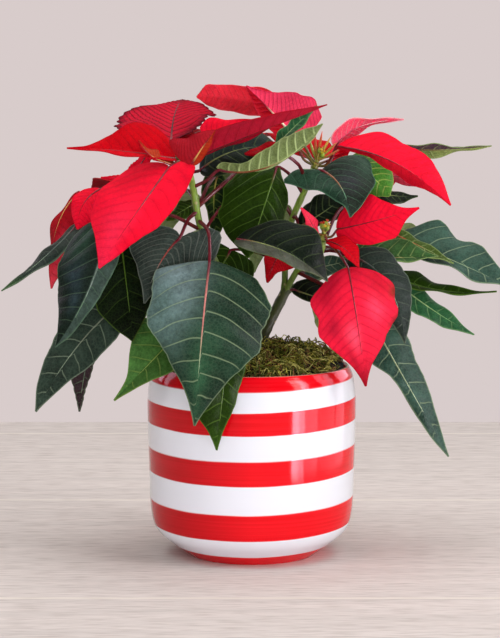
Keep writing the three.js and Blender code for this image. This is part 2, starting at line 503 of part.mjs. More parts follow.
const frontBracts = [
  { base: [60, -32, 236], mid: [86, -46, 243], tip: [116, -48, 252], right: [8, 12, 15, 14, 4],
    left: [12, 19, 21, 12, 3], face: [0, -0.95, 0.3], bend: [56, -31, 231], fold: -5, lobe: 0.02,
    heart: 7 },
  { base: [53, -38, 228], mid: [65, -50, 223], tip: [74, -54, 211], right: [2, 3, 3, 3, 2],
    left: [3, 8, 9, 7, 3], face: [0.2, -0.9, 0.4], fold: 5, small: true },
  { base: [67, -48, 210], mid: [73, -64, 172], tip: [79, -60, 129], right: [16, 28, 27, 21, 6],
    left: [20, 30, 27, 18, 5], face: [0, -1, 0.2], fold: -6, lobe: 0.05, large: true },
  { base: [45, -37, 231], mid: [41, -42, 242], tip: [34, -44, 252], right: [2, 3, 4, 3, 1],
    left: [2, 3, 4, 3, 1], face: [0.2, -0.9, 0.4], small: true },
  { base: [20, -22, 219], mid: [15, -26, 210], tip: [11, -26, 198], right: [6, 8, 7, 4, 2],
    left: [8, 13, 10, 4, 2], face: [0, -1, 0.2], bend: [38, -36, 230], fold: 0, small: true },
];

const backBracts = [
  { base: [82, 56, 269], mid: [84, 86, 261], tip: [84, 120, 231], right: [16, 25, 25, 18, 7],
    left: [16, 25, 25, 18, 7], face: [0, 0.7, 0.8], lobe: 0.02 },
  { base: [77, 54, 268], mid: [64, 84, 270], tip: [50, 116, 266], right: [12, 19, 19, 13, 5],
    left: [12, 19, 19, 13, 5], face: [0, 0.2, 1], turn: 0.4 },
  { base: [92, 50, 268], mid: [116, 66, 268], tip: [140, 76, 254], right: [9, 14, 14, 10, 4],
    left: [9, 14, 14, 10, 4], face: [0.2, 0.5, 0.9], turn: 0.7 },
];

// ---------------------------------------------------------------- flower heads
// The core seats on the shoot's end, the bracts leave its side, and a tuft of cyathia seats on
// its top.

function tip(route) {
  const curve = new THREE.CatmullRomCurve3(route.map(vector), false, 'centripetal');
  return { end: curve.getPoint(1), along: curve.getTangent(1) };
}

function bractHead(route, bracts) {
  const { end, along } = tip(route);
  const foot = end.clone().addScaledVector(along, GAP);
  const top = foot.clone().addScaledVector(along, CORE_LENGTH);
  const heart = foot.clone().lerp(top, 0.5).toArray();
  const core = bar([foot.toArray(), top.toArray()], CORE_RADIUS, STEM_SIDES, 1);
  const blades = bladesOn(bracts.map((bract) => ({ bow: 2, ...bract, stem: heart })));
  return new THREE.Mesh(toGeometry(joined([core, ...blades])), bractRed);
}

// A tuft of small cups on short stalks that lean outward from one low pad.
function cyathia(route, stalks, length, lean) {
  const { end, along } = tip(route);
  const foot = end.clone().addScaledVector(along, CORE_LENGTH + 2 * GAP);
  const padTop = foot.clone().addScaledVector(along, PAD_HEIGHT);
  const pad = bar([foot.toArray(), padTop.toArray()], PAD_RADIUS, STEM_SIDES, 1);
  const side = along.clone().cross(new THREE.Vector3(0, 1, 0)).normalize();
  const front = side.clone().cross(along);
  const pieces = [pad];
  for (let i = 0; i < stalks; i += 1) {
    const angle = (2 * Math.PI * i) / stalks + 0.4;
    const reach = i % 2 ? length : 0.7 * length;
    const out = side.clone().multiplyScalar(Math.cos(angle)).addScaledVector(front, Math.sin(angle));
    const start = foot.clone().addScaledVector(along, PAD_HEIGHT / 2).addScaledVector(out, PAD_RADIUS / 2);
    const head = start.clone().addScaledVector(along, reach).addScaledVector(out, reach * lean);
    pieces.push(bar([start.toArray(), head.toArray()], STALK_RADIUS, 3, 1));
    const cup = new THREE.SphereGeometry(CUP_RADIUS, 4, 3);
    cup.scale(1, 1, 1.25);
    cup.translate(head.x, head.y, head.z);
    pieces.push(toSolid(cup));
  }
  return new THREE.Mesh(toGeometry(joined(pieces)), cupGreen);
}

// A stem's steps along its route, the same for its solid and for the places where petioles leave.
function stemSteps(route) {
  return Math.round(1.2 * route.length);
}

// The point on the shoots' centre lines that lies nearest.
function onShoots(bars, point) {
  let best = null;
  for (const [route] of bars) {
    const curve = new THREE.CatmullRomCurve3(route.map(vector), false, 'centripetal');
    const line = curve.getSpacedPoints(stemSteps(route));
    for (let i = 1; i < line.length; i += 1) {
      const stretch = new THREE.Line3(line[i - 1], line[i]);
      const near = stretch.closestPointToPoint(point, true, new THREE.Vector3());
      if (!best || near.distanceTo(point) < best.distanceTo(point)) best = near;
    }
  }
  return best.toArray();
}

function leafyStem(bars, leaves) {
  const wood = bars.map(([route, radius]) => bar(route, radius, STEM_SIDES, stemSteps(route)));
  const seated = leaves.map((leaf) => ({ ...leaf, stem: onShoots(bars, vector(leaf.stem)) }));
  return new THREE.Mesh(toGeometry(joined([...wood, ...bladesOn(seated)])), leafGreen);
}

// ---------------------------------------------------------------- the whole plant

const plant = new THREE.Group();

function place(name, mesh) {
  mesh.name = name;
  plant.add(mesh);
}

place('pot', potMesh());
place('potting_mix', mixMesh());
place('moss', mossMesh());
place('stem_left', leafyStem([[leftShoot, SHOOT_RADIUS]], leftLeaves));
place('stem_far_left', leafyStem([[farLeftShoot, SHOOT_RADIUS]], farLeftLeaves));
place('stem_right', leafyStem([
  [trunk, TRUNK_RADIUS], [topShoot, SHOOT_RADIUS], [frontShoot, SHOOT_RADIUS], [backShoot, SHOOT_RADIUS],
], rightLeaves));
place('bracts_left', bractHead(leftShoot, leftBracts));
place('bracts_far_left', bractHead(farLeftShoot, farLeftBracts));
place('bracts_top', bractHead(topShoot, topBracts));
place('bracts_front', bractHead(frontShoot, frontBracts));
place('bracts_back', bractHead(backShoot, backBracts));
place('cyathia_left', cyathia(leftShoot, 3, 2, 0));
place('cyathia_far_left', cyathia(farLeftShoot, 4, 5, 0.35));
place('cyathia_top', cyathia(topShoot, 4, 8, 0.2));
place('cyathia_front', cyathia(frontShoot, 4, 5, 0.3));
place('cyathia_back', cyathia(backShoot, 4, 6, 0.35));

export default plant;
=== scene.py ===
# A poinsettia in a glazed pot banded red and white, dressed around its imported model.
# The frame is in metres with +Z up and -Y to the front; its origin is the middle of the pot's
# flat foot. Sizes in this script are in millimetres unless a name or a comment says otherwise.

import math
import random

import bpy
from mathutils import Matrix, Vector, noise


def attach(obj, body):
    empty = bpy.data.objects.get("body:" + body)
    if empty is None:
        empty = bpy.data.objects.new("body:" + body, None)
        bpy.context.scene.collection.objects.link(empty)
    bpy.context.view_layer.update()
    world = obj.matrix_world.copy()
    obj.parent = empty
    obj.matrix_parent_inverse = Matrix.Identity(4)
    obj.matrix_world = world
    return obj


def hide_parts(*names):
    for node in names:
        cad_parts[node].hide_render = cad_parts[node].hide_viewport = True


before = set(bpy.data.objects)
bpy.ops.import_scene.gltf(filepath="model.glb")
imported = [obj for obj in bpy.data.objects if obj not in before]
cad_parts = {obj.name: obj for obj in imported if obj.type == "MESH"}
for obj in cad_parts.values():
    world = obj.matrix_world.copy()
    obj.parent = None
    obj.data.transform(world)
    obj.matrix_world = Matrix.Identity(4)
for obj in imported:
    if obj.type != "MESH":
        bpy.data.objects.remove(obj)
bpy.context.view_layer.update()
MM = 0.001

# ---------------------------------------------------------------------------- the pot
# The pot is cast earthenware under a white glaze. Red is laid on with a brush while the pot turns
# on the wheel, so the bands' edges waver and the red shows faint strokes; a clear glaze covers both.

POT_OUTSIDE = ((46, 0), (50, 3), (60, 10.5), (66.5, 16), (70.4, 22), (72.8, 33), (73.9, 61),
               (74.9, 96), (75, 112), (74.2, 122), (72.4, 131), (69.9, 136.2))
POT_LIP = ((69.2, 136.8), (68.4, 136.7), (67.6, 135.6))
POT_INSIDE = ((68, 126), (69.5, 112), (67.5, 41), (64, 24), (57, 14), (46, 8))
POT_HEIGHT = 137
LIP_WEAR_FROM, LIP_BARE_FROM = 136.3, 136.8
WHEEL_STEPS = 144
RED_BANDS = ((0, 7.2), (21.7, 40.6), (60.8, 78.1), (96.0, 112.1), (126.2, 136.5))
BAND_LEAN = (-0.0125, -0.014, 1)
BAND_ARCH = 0.25
BAND_LIFT = 1.05
BAND_WAVER = 0.8
BAND_SOFTNESS = 0.15
# Painted shade: the red darkens from the middle towards the pot's left (-X) side and is darkest from 50 mm
# left of the middle outwards, as if lit from the right.
RED_SHADE_DEEPEST_AT = -50
WHITE_GLAZE = "#edeef4"
BAND_RED = "#e60614"
BAND_RED_THIN = "#f41422"
RED_SHADE_VALUE = 0.64
BARE_LIP = "#b39c84"


def eased(start, end, leave, enter, t):
    """The cubic's value at t on its way from start to end, with its slopes at both."""
    return ((2 * t**3 - 3 * t**2 + 1) * start + (t**3 - 2 * t**2 + t) * leave
            + (3 * t**2 - 2 * t**3) * end + (t**3 - t**2) * enter)


def smooth_line(points, steps):
    """A curve through the points, with this many steps between each two: a centripetal spline."""
    knots = [Vector(p) for p in points]
    knots = [2 * knots[0] - knots[1], *knots, 2 * knots[-1] - knots[-2]]
    line = []
    for a, b, c, d in zip(knots, knots[1:], knots[2:], knots[3:]):
        ab, bc, cd = ((q - p).length ** 0.5 for p, q in ((a, b), (b, c), (c, d)))
        leave = ((b - a) / ab - (c - a) / (ab + bc) + (c - b) / bc) * bc
        enter = ((c - b) / bc - (d - b) / (bc + cd) + (d - c) / cd) * bc
        line += [eased(b, c, leave, enter, i / steps) for i in range(steps)]
    return [*line, knots[-2]]


def alone(obj):
    """Selects this object only, so that operators act on nothing else."""
    bpy.ops.object.select_all(action="DESELECT")
    obj.select_set(True)
    bpy.context.view_layer.objects.active = obj


def mesh_object(name, points, edges, faces):
    """A new mesh object at the origin, from points in millimetres; it is left selected alone."""
    mesh = bpy.data.meshes.new(name)
    mesh.from_pydata([Vector(p) * MM for p in points], edges, faces)
    obj = bpy.data.objects.new(name, mesh)
    bpy.context.scene.collection.objects.link(obj)
    alone(obj)
    return obj


def turn_on_wheel(name, outline, steps=WHEEL_STEPS):
    """Spins an outline of (radius, height) points once round the Z axis into a closed shape."""
    edges = [(i, i + 1) for i in range(len(outline) - 1)]
    obj = mesh_object(name, [(r, 0, z) for r, z in outline], edges, [])
    bpy.ops.object.mode_set(mode="EDIT")
    bpy.ops.mesh.select_all(action="SELECT")
    bpy.ops.mesh.spin(steps=steps, angle=2 * math.pi, center=(0, 0, 0), axis=(0, 0, 1))
    bpy.ops.mesh.select_all(action="SELECT")
    bpy.ops.mesh.remove_doubles(threshold=0.01 * MM)
    bpy.ops.mesh.normals_make_consistent(inside=False)
    bpy.ops.object.mode_set(mode="OBJECT")
    bpy.ops.object.shade_smooth_by_angle(angle=math.radians(50))
    return obj


def linear(hex_colour):
    """The linear RGBA of an sRGB hex colour."""
    values = (int(hex_colour[i:i + 2], 16) / 255 for i in (1, 3, 5))
    return (*(c / 12.92 if c <= 0.04045 else ((c + 0.055) / 1.055) ** 2.4 for c in values), 1)


def add_node(tree, kind, inputs=(), out=0, stops=(), **settings):
    """Adds a shader node and gives its output socket. Inputs are values or other nodes' sockets,
    by name or in order; stops fill a colour ramp."""
    made = tree.nodes.new("ShaderNode" + kind)
    for key, value in settings.items():
        setattr(made, key, value)
    for key, value in inputs.items() if isinstance(inputs, dict) else enumerate(inputs):
        if isinstance(value, bpy.types.NodeSocket):
            tree.links.new(value, made.inputs[key])
        else:
            made.inputs[key].default_value = value
    for i, (place, colour) in enumerate(stops):
        elements = made.color_ramp.elements
        stop = elements[i] if i < 2 else elements.new(place)
        stop.position, stop.color = place, colour
    return made.outputs[out]


def new_material(name, **finish):
    """A material with one Principled shader, whose sockets get the values in finish. It comes with
    its node tree, the shader's inputs and the Object coordinates."""
    material = bpy.data.materials.new(name)
    material.use_nodes = True
    tree = material.node_tree
    skin = tree.nodes["Principled BSDF"].inputs
    for key, value in finish.items():
        skin[key.replace("_", " ")].default_value = value
    return material, tree, skin, add_node(tree, "TexCoord", out="Object")


def settle(obj, slot, *nodes):
    """The piece rides on the plant's one body and takes the place of CAD nodes, which it hides; slot is not
    used.
    """
    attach(obj, "root")
    if nodes:
        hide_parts(*nodes)


def banded_glaze():
    """Glazed earthenware, brush-banded: glass-clear gloss over colours that streak sideways, and painted
    shade that darkens the red towards the pot's left side.
    """
    material, tree, skin, place = new_material(
        "banded_earthenware_glaze", Roughness=0.5, Specular_IOR_Level=0.0, Coat_Weight=1.0,
        Coat_Roughness=0.1, Coat_IOR=1.3)
    across, _, height = add_node(tree, "SeparateXYZ", [place]).node.outputs
    leaned = add_node(tree, "VectorMath", [place, BAND_LEAN], "Value", operation="DOT_PRODUCT")
    squared = add_node(tree, "Math", [across, across], operation="MULTIPLY")
    arched = add_node(tree, "Math", [squared, -BAND_ARCH, leaned], operation="MULTIPLY_ADD")
    waver = add_node(tree, "TexNoise", {"Vector": place, "Scale": 30, "Detail": 1})
    level = add_node(tree, "Math", [waver, BAND_WAVER * MM, arched], operation="MULTIPLY_ADD")
    top = (POT_HEIGHT + BAND_LIFT + BAND_WAVER / 2) * MM
    share = add_node(tree, "MapRange", [level, BAND_LIFT * MM, top])
    edges = [edge / POT_HEIGHT for band in RED_BANDS for edge in band][1:]
    soft = BAND_SOFTNESS / POT_HEIGHT
    stops = []
    for i, edge in enumerate(edges):
        below = 1 - i % 2
        stops += [(edge - soft, (below,) * 3 + (1,)), (edge + soft, (1 - below,) * 3 + (1,))]
    painted = add_node(tree, "ValToRGB", [share], stops=[(0, linear("#ffffff")), (1, linear("#ffffff")),
                                                            *stops[:-2]])
    squeezed = add_node(tree, "Mapping", {"Vector": place, "Scale": (6, 6, 900)})
    strokes = add_node(tree, "TexNoise", {"Vector": squeezed, "Scale": 1, "Detail": 3})
    red = add_node(tree, "ValToRGB", [strokes],
                   stops=[(0.35, linear(BAND_RED)), (0.75, linear(BAND_RED_THIN))])
    # Painted shade on the red, darker towards the pot's left side.
    red_shade = add_node(tree, "MapRange", [across, RED_SHADE_DEEPEST_AT * MM, 0, RED_SHADE_VALUE, 1])
    shaded_red = add_node(tree, "HueSaturation", {"Value": red_shade, "Color": red})
    glaze = add_node(tree, "Mix", {0: painted, 6: linear(WHITE_GLAZE), 7: shaded_red}, 2, data_type="RGBA")
    worn = add_node(tree, "MapRange", [height, LIP_WEAR_FROM * MM, LIP_BARE_FROM * MM])
    lipped = add_node(tree, "Mix", {0: worn, 6: glaze, 7: linear(BARE_LIP)}, 2, data_type="RGBA")
    tree.links.new(lipped, skin["Base Color"])
    sway = add_node(tree, "TexNoise", {"Vector": place, "Scale": 22, "Detail": 1})
    dents = add_node(tree, "Bump", {"Strength": 0.25, "Distance": 1.5 * MM, "Height": sway})
    tree.links.new(dents, skin["Normal"])
    tree.links.new(dents, skin["Coat Normal"])
    return material


outside = [(p.x, p.y) for p in smooth_line([(r, z, 0) for r, z in POT_OUTSIDE], 6)]
inside = [(p.x, p.y) for p in smooth_line([(r, z, 0) for r, z in POT_INSIDE], 4)]
pot = turn_on_wheel("glazed_pot", [(0, 0), *outside, *POT_LIP, *inside, (0, POT_INSIDE[-1][1])])
pot.data.materials.append(banded_glaze())
settle(pot, "pot", "pot")

# ---------------------------------------------------------------------------- potting mix
# Damp peat with bark crumbs fills the pot below the moss. Nothing of it shows, so its own solid
# stays and only gets its crumbly look.

PEAT, CRUMB = "#1c130c", "#4a3524"

peat, tree, skin, place = new_material("damp_peat_mix", Roughness=0.95)
crumbs = add_node(tree, "TexVoronoi", {"Vector": place, "Scale": 350})
tones = add_node(tree, "ValToRGB", [crumbs], stops=[(0, linear(CRUMB)), (0.7, linear(PEAT))])
lumps = add_node(tree, "Bump", {"Strength": 0.8, "Distance": 2 * MM, "Height": crumbs})
tree.links.new(tones, skin["Base Color"])
tree.links.new(lumps, skin["Normal"])
mix_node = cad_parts["potting_mix"]
mix_node.data.materials.clear()
mix_node.data.materials.append(peat)

# ---------------------------------------------------------------------------- moss
# A mat of cut sheet moss is laid over the mix, highest right of the middle. It is a felt of
# curled feathery strands, olive at their tips and brown where they have dried.

MOSS_RADIUS = 66.2
MOSS_EDGE_HEIGHT = 131
MOSS_ROLL_FROM, MOSS_ROLL_WIDTH = 60, 6
MOSS_TOP = (14, 6)
MOSS_REACH = 66
MOSS_MOUND = 17
MOSS_LUMP = 2.2
MOSS_THICKNESS = 5
MAT_GRID = 120
TUFT_SIZE, TUFT_HEIGHT, FUZZ_HEIGHT = 3, 1.6, 0.8
MAT_TONE = "#14130a"
STRANDS = 2600
STRAND_RINGS = 8
STRAND_LENGTH = (6, 20)
STRAND_INSET = 2.5
STRAND_CURL = 2.6
STRAND_RISE = (0.3, 5.5)
STRAND_THIN, STRAND_THICK, STRAND_CORE = 0.4, 0.95, 0.12
STRAY_SHARE = 0.04
STRAY_RISE = 9
FOOT_SHADE, TIP_GLOW = 0.12, 1.4
STRAND_TONES = ("#5c6420", "#84822c", "#aaa244", "#ccc468", "#866036")


def moss_height(x, y):
    """How high the mat lies at a place: its edge, its mound and its lumps."""
    mound = 1 - min(1, math.hypot(x - MOSS_TOP[0], y - MOSS_TOP[1]) / MOSS_REACH) ** 2
    lumps = math.sin(x / 5.1 + 1.3 * math.sin(y / 7)) * math.cos(y / 4.7 - 0.8 * math.sin(x / 9))
    return MOSS_EDGE_HEIGHT + MOSS_MOUND * mound + MOSS_LUMP * lumps


def flecked_skin(name, grains, dark, bright, **finish):
    """A material in its piece's painted tones, flecked by noise of this many grains a metre."""
    material, tree, skin, place = new_material(name, **finish)
    tone = add_node(tree, "Attribute", attribute_name="tone")
    flecks = add_node(tree, "TexNoise", {"Vector": place, "Scale": grains, "Detail": 2})
    light = add_node(tree, "MapRange", [flecks, 0.3, 0.7, dark, bright])
    flecked = add_node(tree, "HueSaturation", {"Value": light, "Color": tone})
    tree.links.new(flecked, skin["Base Color"])
    return material


def paint(obj, name, colours):
    """Gives each vertex its colour in a named attribute; colours are linear RGBA."""
    layer = obj.data.attributes.new(name, "FLOAT_COLOR", "POINT")
    layer.data.foreach_set("color", [value for colour in colours for value in colour])


# Moss has no gloss at all.
dull_moss = flecked_skin("sheet_moss", 700, 0.55, 1.25, Roughness=0.9, Specular_IOR_Level=0.2)

bpy.ops.object.select_all(action="DESELECT")
bpy.ops.mesh.primitive_grid_add(x_subdivisions=MAT_GRID, y_subdivisions=MAT_GRID, size=2)
mat = bpy.context.object
mat.name = "moss_mat"
for vertex in mat.data.vertices:
    x, y = vertex.co.x, vertex.co.y
    across, back = x * math.sqrt(1 - y * y / 2) * MOSS_RADIUS, y * math.sqrt(1 - x * x / 2) * MOSS_RADIUS
    tufts = noise.noise(Vector((across, back, 0)) / TUFT_SIZE)
    felt = TUFT_HEIGHT * tufts + FUZZ_HEIGHT * noise.noise(Vector((across, back, 9)))
    roll = max(0, math.hypot(across, back) - MOSS_ROLL_FROM) / MOSS_ROLL_WIDTH
    vertex.co = Vector((across, back, moss_height(across, back) + felt - 2 * roll)) * MM
felted = mat.modifiers.new("felt", "SOLIDIFY")
felted.thickness = MOSS_THICKNESS * MM
bpy.ops.object.modifier_apply(modifier=felted.name)
bpy.ops.object.shade_smooth()
# The mat's near-black tone is partly its own dark felt and partly painted shade in the gaps between the
# strands.
paint(mat, "tone", [linear(MAT_TONE)] * len(mat.data.vertices))
mat.data.materials.append(dull_moss)
settle(mat, "moss", "moss")

# Each strand is a curl of three-sided rings, thick and thin by turns; its tone is painted dark at its foot
# as shade down in the mat, and paler towards its tip.
draw = random.Random(7)
points, faces, tones = [], [], []
for _ in range(STRANDS):
    reach = (MOSS_RADIUS - STRAND_INSET) * math.sqrt(draw.random())
    turn = draw.uniform(0, 2 * math.pi)
    x, y = reach * math.cos(turn), reach * math.sin(turn)
    heading = draw.uniform(0, 2 * math.pi)
    step = draw.uniform(*STRAND_LENGTH) / STRAND_RINGS
    curl = draw.uniform(-STRAND_CURL, STRAND_CURL)
    rise = draw.uniform(*STRAND_RISE) if draw.random() > STRAY_SHARE else STRAY_RISE
    tone = linear(draw.choice(STRAND_TONES))
    first = len(points)
    for ring in range(STRAND_RINGS):
        t = ring / (STRAND_RINGS - 1)
        centre = Vector((x, y, moss_height(x, y) + 0.2 + rise * math.sin(2.4 * t)))
        thick = (STRAND_THICK if ring % 2 else STRAND_THIN) * (1.1 - t) + STRAND_CORE
        side = Vector((-math.sin(heading), math.cos(heading), 0))
        for corner in range(3):
            angle = 2 * math.pi * corner / 3
            points.append(centre + thick * (side * math.cos(angle) + Vector((0, 0, 1)) * math.sin(angle)))
            tones.append([value * (FOOT_SHADE + TIP_GLOW * t) for value in tone])
        heading += curl / STRAND_RINGS
        x += step * math.cos(heading)
        y += step * math.sin(heading)
        inward = min(1, (MOSS_RADIUS - 0.5) / max(1, math.hypot(x, y)))
        x, y = x * inward, y * inward
    for a in range(first, len(points) - 3):
        b = a + 1 if (a - first) % 3 < 2 else a - 2
        faces.append((a, b, b + 3, a + 3))
    last = len(points)
    faces += [(first + 2, first + 1, first), (last - 3, last - 2, last - 1)]
strands = mesh_object("moss_strands", points, [], faces)
paint(strands, "tone", tones)
bpy.ops.object.shade_smooth()
strands.data.materials.append(dull_moss)
settle(strands, "moss")

# ---------------------------------------------------------------------------- left shoot
# A young green shoot leaves the trunk at the moss and carries the largest leaf. Each dark red leaf
# stalk runs on as the blade's raised midrib; blades are firm, satin and puckered between veins.

SHOOT_RADIUS = 2.4
JOINT_EVERY = 21
JOINT_SWELL = 0.14
STALK_RADII = (1.55, 1.2, 1.0, 0.75, 0.55, 0.4, 0.2)
RIB_STATIONS = (0.06, 0.16, 0.28, 0.42, 0.56, 0.7, 0.84)
BLADE_STATIONS = (0, 0.08, 0.25, 0.45, 0.65, 0.85, 1)
BLADE_THICKNESS = 0.5
BLADE_EDGE = 0.6
ROW_PITCH = 2.2
COLUMN_PITCH = 2.6
CLOSER_TO_BASE, CLOSER_TO_RIB = 1.2, 1.15
BASE_STUB = 1.2
BASE_RISE = 1.4
TIP_FALL = 0.7
SHOULDER_WIDTH = 8
EDGE_DROOP = 0.12
EDGE_NICKS, NICK_LENGTH = 0.045, 5
EDGE_SAG, SAG_LENGTH = 0.7, 22
SCALLOPS = 3.2
RIPPLES = 2.2
LEFT_PHASE = 0.37
TEETH_A_VEIN = 1.5
VEIN_RAKE = 0.5
VEIN_CURVE = 1.1
VEIN_STAGGER = 0.35
VEIN_SWAY = 0.1
VEIN_SLANT = 1.35
PUCKER_RUN = 6
BASE_SHADE, TIP_SHADE, EDGE_SHADE = 0.35, 0.25, 6
GREEN_SHOOT = ("#2f3518", "#4a5a20", "#6d8a30", "#86a03c")
CORK_SPECK = "#b0a070"
STALK_TONES = ("#5c1c1c", "#5c0e1a", "#661022")

# Each look is the colours of a blade, its side veins, its midrib and its underside.
LEAF_LOOKS = {
    "slate": ("#1e3727", "#94a880", "#c0746a", "#7f9a68"),
    "deep": ("#142713", "#7d9440", "#a8a04a", "#87a264"),
    "fresh": ("#2c4c20", "#8fa850", "#7a8c3c", "#93a870"),
    "glow": ("#1f3407", "#5f8030", "#4c6a1c", "#7f9a4c"),
    "lime": ("#437c2a", "#b4c860", "#a8bc58", "#8fb054"),
    "black": ("#0e160f", "#56683c", "#7a8248", "#5c7048"),
    "plum": ("#303a34", "#8c9284", "#8c3c34", "#8a9860"),
    "dusk": ("#202a24", "#74866c", "#3c4a40", "#8a9a78"),
    "teal": ("#23462f", "#5c8a68", "#8c5a3c", "#86a078"),
    "mist": ("#2f4a3e", "#9cb088", "#8c9a70", "#7f9a78"),
    "steel": ("#15231b", "#5c7a5c", "#5c6e60", "#7f9a68"),
    "smoke": ("#2b392f", "#8a9a80", "#77806a", "#7f9a78"),
    "bright": ("#2c5c38", "#84b070", "#9ab878", "#8cb07c"),
    "sage": ("#2c4a26", "#a8b878", "#7c4a2c", "#7a8a50"),
    "veined": ("#33562c", "#9ab068", "#b0502c", "#8aa060"),
}
LEFT_SHOOT = (
    (10, -8, 100), (5, -11, 124), (0, -15, 147), (-8, -22, 173), (-21, -32, 204),
    (-34, -40, 233), (-37, -42, 244), (-41, -44, 267), (-45, -46, 281),
)


def leaf(look, base, mid, tip, face, right, left=None, **form):
    """The figures of a leaf or bract: its look, three points on its midrib, where its face looks,
    and its half widths at the inner stations; with no left half, it is the right one's mirror.
    Seen with the tip up and the face towards the eye, right is right. In form, stem and bend are
    points on the stalk, fold is in degrees, heart is how far the shoulders reach back past the
    base, and each spot is a place along and across the blade, a reach and a colour; the spots are
    painted sheen and painted shade, and a few real blotches."""
    return dict(look=look, base=base, mid=mid, tip=tip, face=face, right=right, left=left or right, **form)


# In these tables the half, base and tip tones are in places painted sheen and painted shade, where a half
# or an end of a blade faces towards the light or away from it.
LEFT_LEAVES = (
    # The first two spots on this leaf are a painted bluish sheen.
    leaf("slate", (-29, -62, 216), (-34, -90, 166), (-39, -90, 106), (0, -1, 0.2), (36, 38, 36, 20, 6),
         (34, 43, 42, 29, 11), stem=(-37, -42, 243), bend=(-30, -54, 236), fold=-6, wave=3, lobe=0.05,
         rake=0.12, vein_share=1.1, spots=((0.12, 0.65, 0.3, "#7c9092"), (0.3, 0.8, 0.2, "#58716c"),
         (0.35, -0.75, 0.35, "#1a2f22"), (0.72, 0, 0.22, "#2e5238"))),
    leaf("plum", (-50, -50, 231), (-64, -53, 213), (-74, -62, 187), (0, -1, 0), (10, 22, 25, 12, 4),
         (20, 28, 26, 14, 4), stem=(-38, -43, 249), fold=-4, heart=8, left_heart=44, veins=12, rake=0.7,
         vein_share=0.5),
    # This leaf's paler left half and its bluish spots are painted sheen.
    leaf("steel", (-97, -66, 243), (-111, -86, 197), (-134, -80, 159), (-0.3, -1, 0.3),
         (22, 33, 30, 23, 10), (10, 11, 8, 6, 3), stem=(-35, -41, 236), bend=(-60, -50, 248), fold=-12,
         heart=14, quilt=1.1, vein_share=0.7, left_tone="#3c4c44", right_tone="#101c15",
         spots=((0.42, 0.5, 0.12, "#26343a"), (0.15, 0.6, 0.15, "#284434"), (0.6, 0.3, 0.1, "#2c3c40"))),
    leaf("sage", (-23, -46, 278), (15, -54, 282), (49, -50, 310), (0, 0.75, 0.66), (6, 7, 11, 14, 9),
         (3, 3, 3, 6, 6), stem=(-41, -44, 266), bend=(-31, -45, 271), fold=43, heart=10, quilt=2.2,
         veins=11, vein_share=2, right_under="#64723f"),
    leaf("black", (-36, -24, 277), (-11, -31, 291), (20, -20, 293), (0, -0.75, 0.66), (8, 14, 15, 11, 4),
         (10, 15, 17, 17, 14), stem=(-41, -44, 268), bend=(-44, -33, 275), fold=5, left_tone="#24322e",
         right_tone="#162019"),
    leaf("deep", (-24, -1, 274), (-27, -3, 254), (-25, -6, 227), (0, -1, 0), (6, 9, 8, 4, 3),
         (5, 8, 8, 8, 5), stem=(-38, -42, 250), bend=(-31, -24, 266), fold=6, heart=4, tip_tone="#243c12",
         spots=((0.42, 0.1, 0.14, "#3f5e1c"),)),
    leaf("deep", (-21, -5, 251), (-12, 24, 246), (-8, 56, 222), (0, 0.4, 0.9), (8, 13, 13, 9, 4),
         stem=(-33, -39, 231), bend=(-31, -27, 238)),
    leaf("glow", (-40, -22, 254), (-48, -26, 249), (-60, -26, 242), (0, -0.8, 0.6), (4, 6, 7, 5, 2),
         stem=(-39, -43, 256), fold=0),
    leaf("deep", (-12, -1, 274), (-8, 32, 268), (-4, 70, 246), (0, 0.4, 0.9), (12, 18, 18, 14, 6),
         stem=(-38, -42, 252), bend=(-15, -22, 272)),
    leaf("fresh", (-50, -18, 261), (-60, 22, 248), (-66, 56, 222), (0, 0.3, 1), (13, 19, 19, 14, 6),
         stem=(-40, -43, 258), turn=0.3),
)


def spread(values, share):
    """The value at this share of the way along evenly spaced values."""
    place = share * (len(values) - 1)
    i = min(int(place), len(values) - 2)
    return values[i] + (values[i + 1] - values[i]) * (place - i)


def colour_run(hex_colours):
    """Colours to spread along a piece, as vectors."""
    return [Vector(linear(colour)) for colour in hex_colours]


def joined(name, pieces):
    """Joins mesh objects into one, which keeps their painted attributes, and closes their seams."""
    alone(pieces[0])
    for piece in pieces:
        piece.select_set(True)
    bpy.ops.object.join()
    bpy.ops.object.mode_set(mode="EDIT")
    bpy.ops.mesh.select_all(action="SELECT")
    bpy.ops.mesh.remove_doubles(threshold=0.001 * MM)
    bpy.ops.object.mode_set(mode="OBJECT")
    pieces[0].name = name
    return pieces[0]


def round_stalk(line, radii, colours):
    """A bevelled curve along a line, made a mesh; its radii and colours run from end to end.
    The mesh holds the far cap's corners first, then the near cap's, then each ring's."""
    curve = bpy.data.curves.new("stalk", "CURVE")
    curve.dimensions = "3D"
    curve.bevel_depth = MM
    curve.bevel_resolution = 1
    curve.use_fill_caps = True
    spline = curve.splines.new("POLY")
    spline.points.add(len(line) - 1)
    shares = [i / (len(line) - 1) for i in range(len(line))]
    for knot, point, share in zip(spline.points, line, shares):
        knot.co = (*(Vector(point) * MM), 1)
        knot.radius = spread(radii, share)
    obj = bpy.data.objects.new("stalk", curve)
    bpy.context.scene.collection.objects.link(obj)
    alone(obj)
    bpy.ops.object.convert(target="MESH")
    rings = (1, 0, *shares)
    ring = len(obj.data.vertices) // len(rings)
    tones = colour_run(colours)
    paint(obj, "tone", [spread(tones, share) for share in rings for _ in range(ring)])
    bpy.ops.object.shade_smooth_by_angle(angle=math.radians(60))
    return obj


def blade_arc(blade, u):
    """The point on the midrib at u, with the directions along, across and up from the blade."""
    base, mid, tip = (Vector(blade[key]) for key in ("base", "mid", "tip"))
    pull = 2 * mid - (base + tip) / 2
    point = (1 - u) ** 2 * base + 2 * u * (1 - u) * pull + u * u * tip
    along = ((1 - u) * (pull - base) + u * (tip - pull)).normalized()
    across = along.cross(Vector(blade["face"]).normalized()).normalized()
    return point, along, across, across.cross(along)


